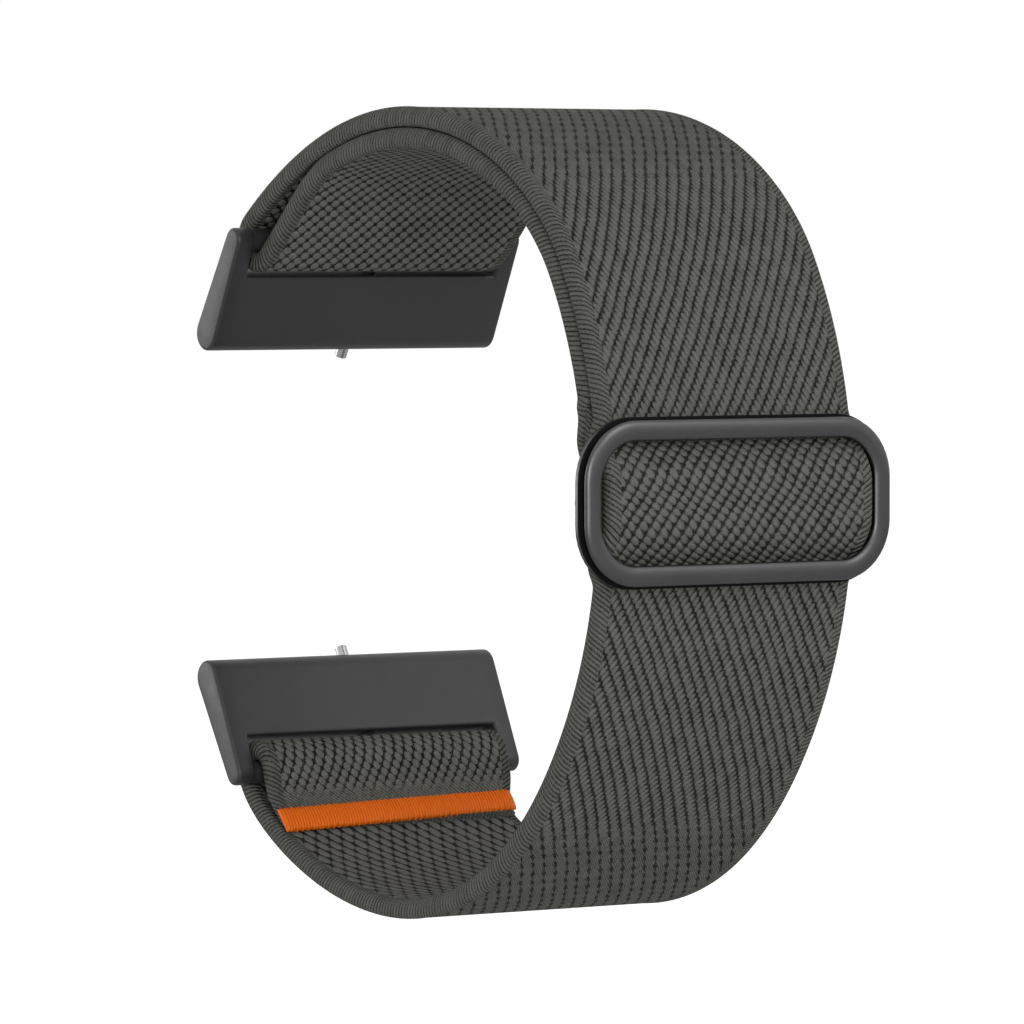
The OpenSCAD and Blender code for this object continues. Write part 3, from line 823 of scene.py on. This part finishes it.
def ribbed_webbing():
    """The outer face: ropes of short strands, which flatten to strips at the loop's top and bottom."""
    w = settings().webbing
    wires = Wires("webbing_ribbed")
    across, along = wires.weave_place()
    strips = wires.stored_value("strips")
    # The strands change their slant behind the bezel, so many millimetres from the buckle's middle
    hidden_from, hidden_to = 6.4, 6.5
    below = wires.ramp(along, -hidden_from, -hidden_to)
    above = wires.ramp(along, hidden_from, hidden_to)
    sway = wires.line(wires.noise(wires.object_place(), 420.0, detail=1.0), 0.34, -0.17)
    across = wires.plus(across, sway)
    rib = wires.centred(across, w.column * MM)
    right = wires.ramp(rib, -0.45, 0.45)
    slant_inside, slant_above, slant_below = 1.1, 1.9, -1.8
    steep = wires.between(above, slant_inside, slant_above)
    slant = wires.times(rib, wires.between(below, steep, slant_below))
    row = wires.line(along, 1 / (w.row * MM), slant)
    strand = wires.away(wires.centred(row, 1.0), 0.5, 1.8)
    bite = wires.between(above, wires.line(right, 0.5, 0.4), wires.line(right, -0.5, 0.8))
    notch = wires.times(strand, wires.between(strips, bite, 0.06))
    valley = wires.times(wires.away(rib, 0.5, 2.1), wires.line(strand, 0.38, 0.82))
    seam = wires.times(wires.away(rib, 0.5, 3.6), 0.7)
    ridge = wires.rest(wires.between(strips, valley, seam))
    fine = wires.centred(wires.line(along, 1.5, wires.times(rib, 4.5)), 1.0)
    hatch = wires.times(wires.away(fine, 0.5, 1.6), wires.between(strips, 0.05, 0.5))
    dot = wires.rest(wires.away(wires.centred(along, 2 * w.row * MM), 0.3, 2.0))
    dots = wires.times(wires.times(dot, strips), wires.away(rib, 0.5, 2.6))
    height = wires.times(ridge, wires.rest(wires.plus(notch, hatch)))
    height = wires.maths("MAXIMUM", wires.line(dots, -0.72, height), 0.0)
    column = wires.maths("DIVIDE", across, w.column * MM)
    return cloth_finish(wires, height, wires.cell(column, row))


def pebbled_webbing():
    """The inner face: round bumps, each row set off by half, flat at the tail's sewn end."""
    w = settings().webbing
    wires = Wires("webbing_pebbled")
    across, along = wires.weave_place()
    wide = w.pebble * MM
    long = 2 * w.pebble_row * MM
    bumps = []
    for shift in (0.0, 0.5):
        x = wires.centred(wires.plus(across, shift * wide), wide)
        y = wires.centred(wires.plus(along, shift * long), long)
        bumps.append(wires.plus(wires.away(wires.line(y, -0.2, x), 0.5, 2.0), wires.away(y, 0.5, 2.0)))
    dome = wires.line(wires.maths("MINIMUM", *bumps), -1.72, 1.0)
    dome = wires.maths("POWER", wires.maths("MAXIMUM", dome, 0.0), 0.5)
    apart = wires.maths("ABSOLUTE", wires.maths("SUBTRACT", *bumps))
    crease = wires.rest(wires.away(apart, 0.5, 0.9))
    height = wires.times(dome, wires.line(crease, -0.2, 1.0))
    fine = wires.centred(wires.line(along, 2.4, wires.times(across, 1.9)), 1.0)
    flat = wires.line(wires.away(fine, 0.5, 2.0), -0.5, 0.85)
    nearer = wires.maths("LESS_THAN", *bumps)
    column = wires.line(nearer, 0.5, wires.maths("DIVIDE", across, wide))
    row = wires.line(nearer, 0.5, wires.maths("DIVIDE", along, long))
    height = wires.between(wires.stored_value("calm"), height, flat)
    # Painted light: the inner faces' threads are 1.2 times as bright, for light the lamps don't bring there
    return cloth_finish(wires, height, wires.cell(column, row, nearer), bright=1.2)


def webbing_edge():
    """The rounded edge: fine ridges of the thread that turns back there."""
    w = settings().webbing
    wires = Wires("webbing_edge")
    around, along = wires.weave_place()
    # The edge bulges, so the way round it to its middle is a little longer than the way across
    longer = 0.0004
    middle = (w.width / 2 - w.bead / 2 + longer) * MM
    off = wires.maths("SUBTRACT", wires.maths("ABSOLUTE", around), middle)
    slant = wires.line(off, -0.5, wires.times(wires.times(off, off), 0.08))
    place = wires.plus(along, slant)
    thread = wires.centred(place, w.edge_thread * MM)
    height = wires.line(wires.away(thread, 0.5, 1.8), -0.8, 1.0)
    step = wires.maths("DIVIDE", place, w.edge_thread * MM)
    return cloth_finish(wires, height, wires.cell(step), bright=0.95)


def thread_finish(name, top, gap):
    """Satin thread: close bright strands with lines of painted shade between them."""
    wires = Wires(name)
    place = wires.object_place()
    strand = wires.centred(wires.parts(place)[0], settings().tacks.thread)
    ridge = wires.rest(wires.away(strand, 0.5, 2.4))
    tone = wires.plus(wires.times(ridge, 0.85), wires.times(wires.noise(place, 1400.0), 0.3))
    wires.paint(wires.maths("MINIMUM", tone, 1.0), gap, top)
    wires.set(Roughness=0.42, Specular_IOR_Level=0.2)
    wires.relief(wires.plus(ridge, wires.times(wires.noise(place, 6000.0), 0.2)), 0.00005)
    return wires.material


def metal_finish(name, tint, metallic, roughness, gloss=0.5):
    """A satin coat with faint unevenness in its tint and gloss."""
    wires = Wires(name)
    place = wires.object_place()
    darker = [c * 0.88 for c in tint]
    lighter = [min(c * 1.12, 1.0) for c in tint]
    wires.paint(wires.noise(place, 160.0, detail=3.0), darker, lighter)
    rough = wires.line(wires.noise(place, 700.0), 0.12, roughness - 0.06)
    wires.set(Roughness=rough, Metallic=metallic, Specular_IOR_Level=gloss)
    wires.relief(wires.noise(place, 9000.0), 0.00001)
    return wires.material


def jitter(number, seed):
    """An uneven value from -1 to 1 for each thread."""
    return math.sin(number * seed)


def tack_shape(centre, axes, long, wide, high):
    """A satin-stitched bar across the band, each thread a small ridge."""
    threads = round(long / settings().tacks.thread)
    per_thread = 5
    steps = threads * per_thread
    sunk = 0.0001
    outline = [(wide / 2 * math.cos(a), high * math.sin(a) ** 0.7) for a in span(0, math.pi, 14)]
    outline += [(-wide / 2, -sunk), (wide / 2, -sunk)]
    places = []
    for i in range(steps + 1):
        number = i // per_thread
        ridge = abs(math.sin(math.pi * (i % per_thread) / per_thread)) ** 0.6
        uneven = 0.03 * jitter(number, 12.9898) + 0.02 * jitter(number, 4.1414)
        ends = mix(0.75, 1.0, smooth(min(i, steps - i) / (per_thread * 1.2)))
        swell = (0.84 + 0.16 * ridge + uneven) * ends
        sway = 0.00006 * jitter(number, 78.233)
        spot = centre + axes[2] * (long * i / steps - long / 2) + axes[0] * sway
        places.append(axes_at(spot, *axes) @ Matrix.Diagonal((0.96 + 0.04 * swell, swell, 1, 1)))
    bm = bmesh.new()
    sweep(bm, outline, places)
    return bm


def bezel_outline():
    """The bezel's rounded section, a little squarer than an ellipse."""
    b = settings().buckle
    outline = []
    for a in span(0, 2 * math.pi, 48)[:-1]:
        across = math.copysign(abs(math.cos(a)) ** 0.9, math.cos(a))
        depth = math.copysign(abs(math.sin(a)) ** 0.95, math.sin(a))
        outline.append((b.section / 2 * across, b.depth / 2 * depth))
    return outline


def window_half():
    """Half of the width of the back plate's window."""
    s = settings()
    return s.webbing.width / 2 + s.loop.spread + s.buckle.side_gap


def plate_shape(front):
    """The back plate with its window, and an ear with its feet on each side."""
    s = settings()
    b = s.buckle
    bm = bmesh.new()
    edges = []
    for half_w, half_h, radius in ((b.width / 2 + b.rim, b.height / 2 + b.rim, b.corner + b.rim),
                                   (window_half(), b.height / 2 + b.rim - b.bar, b.window_corner)):
        corners = round_corners(half_w, half_h, radius, 10)
        place = Vector((0, front, s.loop.rise))
        edges += ring_edges(bm, [bm.verts.new(spot + place) for spot, _ in corners])
    push_out(bm, bmesh.ops.bridge_loops(bm, edges=edges)["faces"], (0, b.plate, 0))
    bmesh.ops.recalc_face_normals(bm, faces=bm.faces)
    soften(bm, b.plate_edge)
    for side in (1, -1):
        ear = to_mesh(ear_shape(front + b.plate, side), "ear")
        bm.from_mesh(ear)
        bpy.data.meshes.remove(ear)
    return bm


def ear_shape(behind, side):
    """An ear that holds the pin, and its feet behind the plate."""
    s = settings()
    b = s.buckle
    rise = s.loop.rise
    pin_y = Route(UPPER).pin_y()
    reach = b.pin + SEAT + b.ear_wall
    ear_in = s.webbing.width / 2 + b.ear_gap
    bm = bmesh.new()
    outline = [(pin_y + reach * math.cos(a), rise + reach * math.sin(a))
               for a in span(-math.pi / 2, math.pi / 2, 16)]
    outline += [(behind, rise + reach), (behind, rise - reach)]
    prism(bm, outline, side * ear_in, side * (ear_in + b.ear))
    low, high = rise - b.foot_height / 2, rise + b.foot_height / 2
    back = behind + b.foot_thickness
    for front, from_x in ((behind + b.foot_drop, ear_in), (behind, window_half())):
        outline = [(front, low), (front, high), (back, high), (back, low)]
        prism(bm, outline, side * (from_x + SEAT), side * (ear_in + b.foot))
    bmesh.ops.recalc_face_normals(bm, faces=bm.faces)
    soften(bm, b.ear_edge)
    return bm


def adapter_place(row):
    """Puts a shape drawn on the bar's axis in its place in the upper or lower row."""
    s = settings()
    bar = Matrix.Translation((0, s.loop.bar_back, s.loop.bar_half))
    place = bar @ Matrix.Rotation(s.adapter.lean, 4, "X")
    return place if row == UPPER else Matrix.Diagonal((1, 1, -1, 1)) @ place


def slot_floor():
    """From an adapter's bar to the far wall of its slot."""
    s = settings()
    return s.adapter.bar + s.webbing.fold_gap + s.webbing.thickness + s.adapter.slot_gap


def adapter_shape():
    """One adapter with its bar on the X axis and its rail down the Z axis."""
    s = settings()
    a = s.adapter
    tilt = math.asin((a.rail - a.tip) / a.reach)
    outline = [(a.tip * math.cos(t), a.tip * math.sin(t)) for t in span(tilt, math.pi - tilt, 14)]
    outline += [(a.rail * math.cos(t), a.rail * math.sin(t) - a.reach)
                for t in span(math.pi - tilt, 2 * math.pi + tilt, 18)]
    inner = s.webbing.width / 2 + a.arm_gap
    outer = inner + a.arm
    floor = slot_floor()
    near = 1e-7

    def on_floor(v):
        """If a vertex lies at the level of the slot's far wall."""
        return abs(v.co.z + floor) < near

    def on_wall(v, side):
        """If a vertex lies on an arm's inner side, in the slot."""
        return abs(v.co.x - side * inner) < near and v.co.z > -floor - near

    bm = bmesh.new()
    prism(bm, outline, -outer, outer)
    cuts = (((-inner, 0, 0), (1, 0, 0)), ((inner, 0, 0), (1, 0, 0)), ((0, 0, -floor), (0, 0, 1)))
    for where, normal in cuts:
        everything = list(bm.verts) + list(bm.edges) + list(bm.faces)
        bmesh.ops.bisect_plane(bm, geom=everything, dist=1e-8, plane_co=where, plane_no=normal)
    middles = [(f, f.calc_center_median()) for f in bm.faces]
    gone = [f for f, middle in middles if abs(middle.x) < inner - 1e-6 and middle.z > -floor + 1e-6]
    bmesh.ops.delete(bm, geom=gone, context="FACES")
    bmesh.ops.delete(bm, geom=[v for v in bm.verts if not v.link_faces], context="VERTS")
    for side in (-1, 1):
        bm.edges.new([v for v in bm.verts if on_floor(v) and on_wall(v, side)])
    for side in (-1, 1):
        fill_hole(bm, lambda v: on_wall(v, side))
    fill_hole(bm, lambda v: on_floor(v) and abs(v.co.x) < inner + near)
    bmesh.ops.recalc_face_normals(bm, faces=bm.faces)
    soften(bm, a.edge, 3)
    bar = bmesh.ops.create_cone(bm, cap_ends=True, segments=32, radius1=a.bar, radius2=a.bar,
                                depth=2 * inner + a.arm)["verts"]
    bmesh.ops.rotate(bm, verts=bar, cent=(0, 0, 0), matrix=Matrix.Rotation(math.pi / 2, 3, "Y"))
    return bm


def fill_hole(bm, on_rim):
    """Fills the open ring of edges whose ends pass a test."""
    edges = [e for e in bm.edges if all(on_rim(v) for v in e.verts) and len(e.link_faces) < 2]
    bmesh.ops.edgeloop_fill(bm, edges=edges)


def coil_ends():
    """How far from the bar the spring starts and ends, between its plug and the catch's head."""
    a = settings().adapter
    play = a.wire / 2 + SEAT
    return slot_floor() + a.plug + play, a.reach + a.rail - a.shoulder - a.head - play


def coil_shape():
    """A spring down the Z axis, below an adapter's bar."""
    a = settings().adapter
    start, end = coil_ends()
    steps_a_turn = 20
    climb = (end - start) / (2 * math.pi * a.turns * a.coil)
    wire = [(a.wire / 2 * math.cos(t), a.wire / 2 * math.sin(t)) for t in span(0, 2 * math.pi, 10)[:-1]]
    places = []
    for share in span(0, 1, int(a.turns) * steps_a_turn):
        turn = 2 * math.pi * a.turns * share
        out = Vector((math.cos(turn), math.sin(turn), 0))
        ahead = Vector((-out.y, out.x, -climb)).normalized()
        spot = a.coil * out - Vector((0, 0, mix(start, end, share)))
        places.append(axes_at(spot, out, ahead.cross(out), ahead))
    bm = bmesh.new()
    sweep(bm, wire, places)
    return bm


class STRAP_OT_webbing(bpy.types.Operator):
    """Lays the woven band in its two halves, from the buckle round each adapter's bar"""
    bl_idname = "strap.webbing"
    bl_label = "Lay Webbing"

    def execute(self, context):
        s = settings()
        finishes = [ribbed_webbing(), pebbled_webbing(), webbing_edge()]
        calm_end = 0.0048
        rows = ((UPPER, "webbing_upper", 0.0, ((1, 1.25, 0), (1, 1.25, 0.38)),
                 ("webbing_outer_run", "webbing_upper_fold", "webbing_inner_run", "webbing_bridge",
                  "webbing_end")),
                (LOWER, "webbing_lower", calm_end, ((1.05, 2.3, 0), (0.83, 1.05, 0.37)),
                 ("webbing_lower_run", "webbing_lower_fold", "webbing_tail")))
        for side, name, calm, patterns, replaced in rows:
            route = Route(side)
            begin = -side * s.webbing.seam
            outer = route.outer(begin)
            rest = route.inner() + route.loop_end() if side == UPPER else route.tail()
            stations = route.stations(outer + route.fold() + rest, begin)
            turned_at = stations[len(outer)][1] + route.fold_radius * math.pi / 2
            piece = lay_band(name, route, stations, finishes, turned_at, calm, patterns, replaced)
            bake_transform(piece)
        return {"FINISHED"}


class STRAP_OT_tacks(bpy.types.Operator):
    """Sews the orange bar on the tail and the grey one on the loop's end"""
    bl_idname = "strap.tacks"
    bl_label = "Sew Bar Tacks"

    def execute(self, context):
        s = settings()
        t = s.tacks
        across = Vector((1, 0, 0))
        orange = thread_finish("thread_orange", s.colours.orange, s.colours.orange_gap)
        grey = thread_finish("thread_grey", s.colours.thread, s.colours.gap)
        lower = Route(LOWER)
        curve = lower.tail_curve()
        chord = sum((curve[i + 1] - curve[i]).length for i in range(3))
        u = 1 - t.tack_width / chord / 2
        flat = bezier_slope(curve, u).normalized()
        spot = bezier(curve, u) + lower.tail_thickness(u) / 2 * outward(flat)
        centre = lower.place(spot)
        ahead = (lower.place(spot + flat) - centre).normalized()
        away = (lower.place(spot + outward(flat)) - centre).normalized()
        askew = Matrix.Rotation(t.tack_turn, 3, away)
        bm = tack_shape(centre, (askew @ ahead, away, askew @ across), t.tack, t.tack_width, t.tack_height)
        finish_piece(bm, "orange_bar_tack", "strap", [orange], ("orange_tack",), sharp=75)
        upper = Route(UPPER)
        a = s.webbing.end_cut - t.end_tack_back
        outside, thick = upper.leg(a)
        centre = upper.place(upper.on_arc(outside - thick, a))
        away = (upper.place(upper.on_arc(0, a)) - centre).normalized()
        ahead = Vector((0, away.z, -away.y))
        bm = tack_shape(centre, (ahead, away, across), t.end_tack, t.end_tack_width, t.end_tack_height)
        finish_piece(bm, "grey_bar_tack", "buckle", [grey], ("end_tack",), sharp=75)
        return {"FINISHED"}


class STRAP_OT_buckle(bpy.types.Operator):
    """Makes the buckle's bezel and its back plate"""
    bl_idname = "strap.buckle"
    bl_label = "Make Buckle"

    def execute(self, context):
        s = settings()
        b = s.buckle
        metal = metal_finish("buckle_satin", s.colours.metal, metallic=1.0, roughness=0.33)
        # Painted shade: a near-black matt finish for the dark line where the bezel meets its plate
        dark = metal_finish("plate_painted_shade", s.colours.groove, metallic=0.0, roughness=0.7, gloss=0.06)
        y = -s.loop.front - b.lift
        plate_front = y + b.depth / 2 + b.step
        half = b.section / 2
        places = ring_places(b.width / 2 - half, b.height / 2 - half, b.corner - half, y)
        bm = bmesh.new()
        sweep(bm, bezel_outline(), places, closed=True)
        finish_piece(bm, "bezel", "buckle", [metal], ("buckle_bezel",), sharp=60)
        neck = half - b.step_inset
        bm = bmesh.new()
        low = y - plate_front
        sweep(bm, [(-neck, low), (neck, low), (neck, 0), (-neck, 0)], places, closed=True)
        step = finish_piece(bm, "bezel_step", "buckle", [dark, metal])
        # The step is painted shade, all but its faces towards the window, which keep the metal
        middle = Vector((0, 0, s.loop.rise))
        for face in step.data.polygons:
            face.material_index = int(face.normal.dot(middle - face.center) > 0)
        bm = plate_shape(plate_front)
        plate = finish_piece(bm, "back_plate", "buckle", [metal, dark], ("buckle_plate",))
        # The plate's faces that look to the front are painted shade too, for the dark rim round the bezel
        towards_front = -0.3
        for face in plate.data.polygons:
            face.material_index = int(face.normal.y < towards_front)
        return {"FINISHED"}


class STRAP_OT_adapters(bpy.types.Operator):
    """Makes the two lug adapters, each with its slot and bar"""
    bl_idname = "strap.adapters"
    bl_label = "Make Adapters"

    def execute(self, context):
        finish = metal_finish("adapter_satin", settings().colours.adapter, metallic=0.2, roughness=0.45)
        for row, name, body, node in ((UPPER, "adapter_upper", "top_adapter", "adapter_top"),
                                      (LOWER, "adapter_lower", "bottom_adapter", "adapter_bottom")):
            bm = adapter_shape()
            bmesh.ops.transform(bm, matrix=adapter_place(row), verts=bm.verts)
            finish_piece(bm, name, body, [finish], (node,))
        return {"FINISHED"}


class STRAP_OT_small_parts(bpy.types.Operator):
    """Winds the springs, which give way to the catches, and gives the pin, plugs and catches their finish"""
    bl_idname = "strap.small_parts"
    bl_label = "Finish Small Parts"

    def execute(self, context):
        steel = metal_finish("small_steel", settings().colours.steel, metallic=1.0, roughness=0.32)
        dark = metal_finish("pin_dark", settings().colours.pin, metallic=0.6, roughness=0.4)
        for name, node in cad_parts.items():
            if name.startswith(("catch_", "buckle_pin")):
                node.data.materials.clear()
                node.data.materials.append(dark if name == "buckle_pin" else steel)
        for row, word in ((UPPER, "top"), (LOWER, "bottom")):
            place = adapter_place(row)
            bm = coil_shape()
            bmesh.ops.transform(bm, matrix=place, verts=bm.verts)
            spring = finish_piece(bm, "spring_" + word, None, [steel], ("catch_spring_" + word,))
            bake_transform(spring)
        return {"FINISHED"}


class STRAP_OT_stage(bpy.types.Operator):
    """Sets the camera, lamps, sky and floor"""
    bl_idname = "strap.stage"
    bl_label = "Set Stage"

    def execute(self, context):
        scene = context.scene
        stage = settings().stage
        scene.view_settings.view_transform = "Standard"
        self.aim_camera(scene, stage)
        self.hang_lamps(stage)
        self.white_sky(scene, stage.sky)
        self.lay_floor(stage)
        return {"FINISHED"}

    def aim_camera(self, scene, stage):
        """Aims the camera a little past the origin."""
        a, e = stage.azimuth, stage.elevation
        right = Vector((math.cos(a), math.sin(a), 0))
        ahead = Vector((-math.sin(a) * math.cos(e), math.cos(a) * math.cos(e), -math.sin(e)))
        up = right.cross(ahead)
        lens = bpy.data.cameras.new("camera")
        lens.lens = stage.lens
        lens.sensor_width = 36
        lens.clip_start = 0.01
        lens.clip_end = 20
        camera = new_object("camera", lens)
        spot = -stage.distance * ahead - stage.across * right - stage.down * up
        camera.matrix_world = axes_at(spot, right, up, -ahead)
        scene.camera = camera

    def hang_lamps(self, stage):
        """Hangs the lamps. Their turn from the camera and their height are angles."""
        lamps = (("key", stage.key, 0.95, 0.6, 0.62), ("fill", stage.fill, 0.15, 0.15, 0.7),
                 ("rim", stage.rim, -1.9, 0.05, 0.7))
        for name, power, turn, height, distance in lamps:
            light = bpy.data.lights.new(name, "AREA")
            light.shape = "SQUARE"
            light.size = stage.lamp_size
            light.energy = power
            lamp = new_object(name, light)
            flat = stage.azimuth + turn
            level = math.cos(height)
            away = Vector((math.sin(flat) * level, -math.cos(flat) * level, math.sin(height)))
            lamp.matrix_world = away.to_track_quat("Z", "Y").to_matrix().to_4x4()
            lamp.matrix_world.translation = away * distance

    def white_sky(self, scene, strength):
        """White to the camera and to gloss, and an even soft light to the rest."""
        world = bpy.data.worlds.new("sky")
        world.use_nodes = True
        scene.world = world
        tree = world.node_tree
        background = tree.nodes["Background"]
        background.inputs[0].default_value = (1, 1, 1, 1)
        seen = tree.nodes.new("ShaderNodeLightPath")
        share = seen.outputs["Is Camera Ray"]
        for ray in ("Is Glossy Ray", "Is Transmission Ray"):
            most = tree.nodes.new("ShaderNodeMath")
            most.operation = "MAXIMUM"
            tree.links.new(share, most.inputs[0])
            tree.links.new(seen.outputs[ray], most.inputs[1])
            share = most.outputs[0]
        level = tree.nodes.new("ShaderNodeMapRange")
        level.inputs[3].default_value = strength
        level.inputs[4].default_value = 1.0
        tree.links.new(share, level.inputs[0])
        tree.links.new(level.outputs[0], background.inputs[1])

    def lay_floor(self, stage):
        """Lays a wide floor under the strap."""
        bm = bmesh.new()
        bmesh.ops.create_grid(bm, x_segments=1, y_segments=1, size=4)
        bmesh.ops.translate(bm, verts=bm.verts, vec=(0, 0, -stage.floor_drop))
        mesh = to_mesh(bm, "floor")
        floor = new_object("floor", mesh)
        mesh.materials.append(self.pale_floor())

    def pale_floor(self):
        """A pale matt floor that stays white to the camera and keeps the shadow."""
        wires = Wires("pale_floor")
        seen = wires.add("ShaderNodeLightPath").outputs["Is Camera Ray"]
        wires.set(Base_Color=(*settings().colours.floor, 1.0), Roughness=0.9, Specular_IOR_Level=0.0,
                  Emission_Color=(1.0, 1.0, 1.0, 1.0), Emission_Strength=wires.times(seen, 0.7))
        return wires.material


class STRAP_PT_panel(bpy.types.Panel):
    """Lists the strap's pieces and sizes"""
    bl_idname = "STRAP_PT_panel"
    bl_label = "Watch Strap"
    bl_space_type = "VIEW_3D"
    bl_region_type = "UI"
    bl_category = "Watch Strap"

    def draw(self, context):
        layout = self.layout
        for operator in ORDER:
            layout.operator(operator.bl_idname)
        for group in ("loop", "webbing", "tacks", "buckle", "adapter", "colours", "stage"):
            box = layout.box()
            box.label(text=group.title())
            values = getattr(context.scene.watch_strap, group)
            for key in values.__annotations__:
                box.prop(values, key)


ORDER = (STRAP_OT_stage, STRAP_OT_webbing, STRAP_OT_tacks, STRAP_OT_buckle, STRAP_OT_adapters,
         STRAP_OT_small_parts)
GROUPS = (StrapLoop, StrapWebbing, StrapTacks, StrapBuckle, StrapAdapter, StrapColours, StrapStage,
          StrapSettings)


def register():
    """Adds the settings, operators and panel to Blender."""
    for item in GROUPS + ORDER + (STRAP_PT_panel,):
        bpy.utils.register_class(item)
    bpy.types.Scene.watch_strap = PointerProperty(type=StrapSettings)


def unregister():
    """Takes them out again."""
    del bpy.types.Scene.watch_strap
    for item in reversed(GROUPS + ORDER + (STRAP_PT_panel,)):
        bpy.utils.unregister_class(item)


def main():
    """Makes every piece in order."""
    register()
    bpy.ops.strap.stage()
    bpy.ops.strap.webbing()
    bpy.ops.strap.tacks()
    bpy.ops.strap.buckle()
    bpy.ops.strap.adapters()
    bpy.ops.strap.small_parts()


if __name__ == "__main__":
    main()
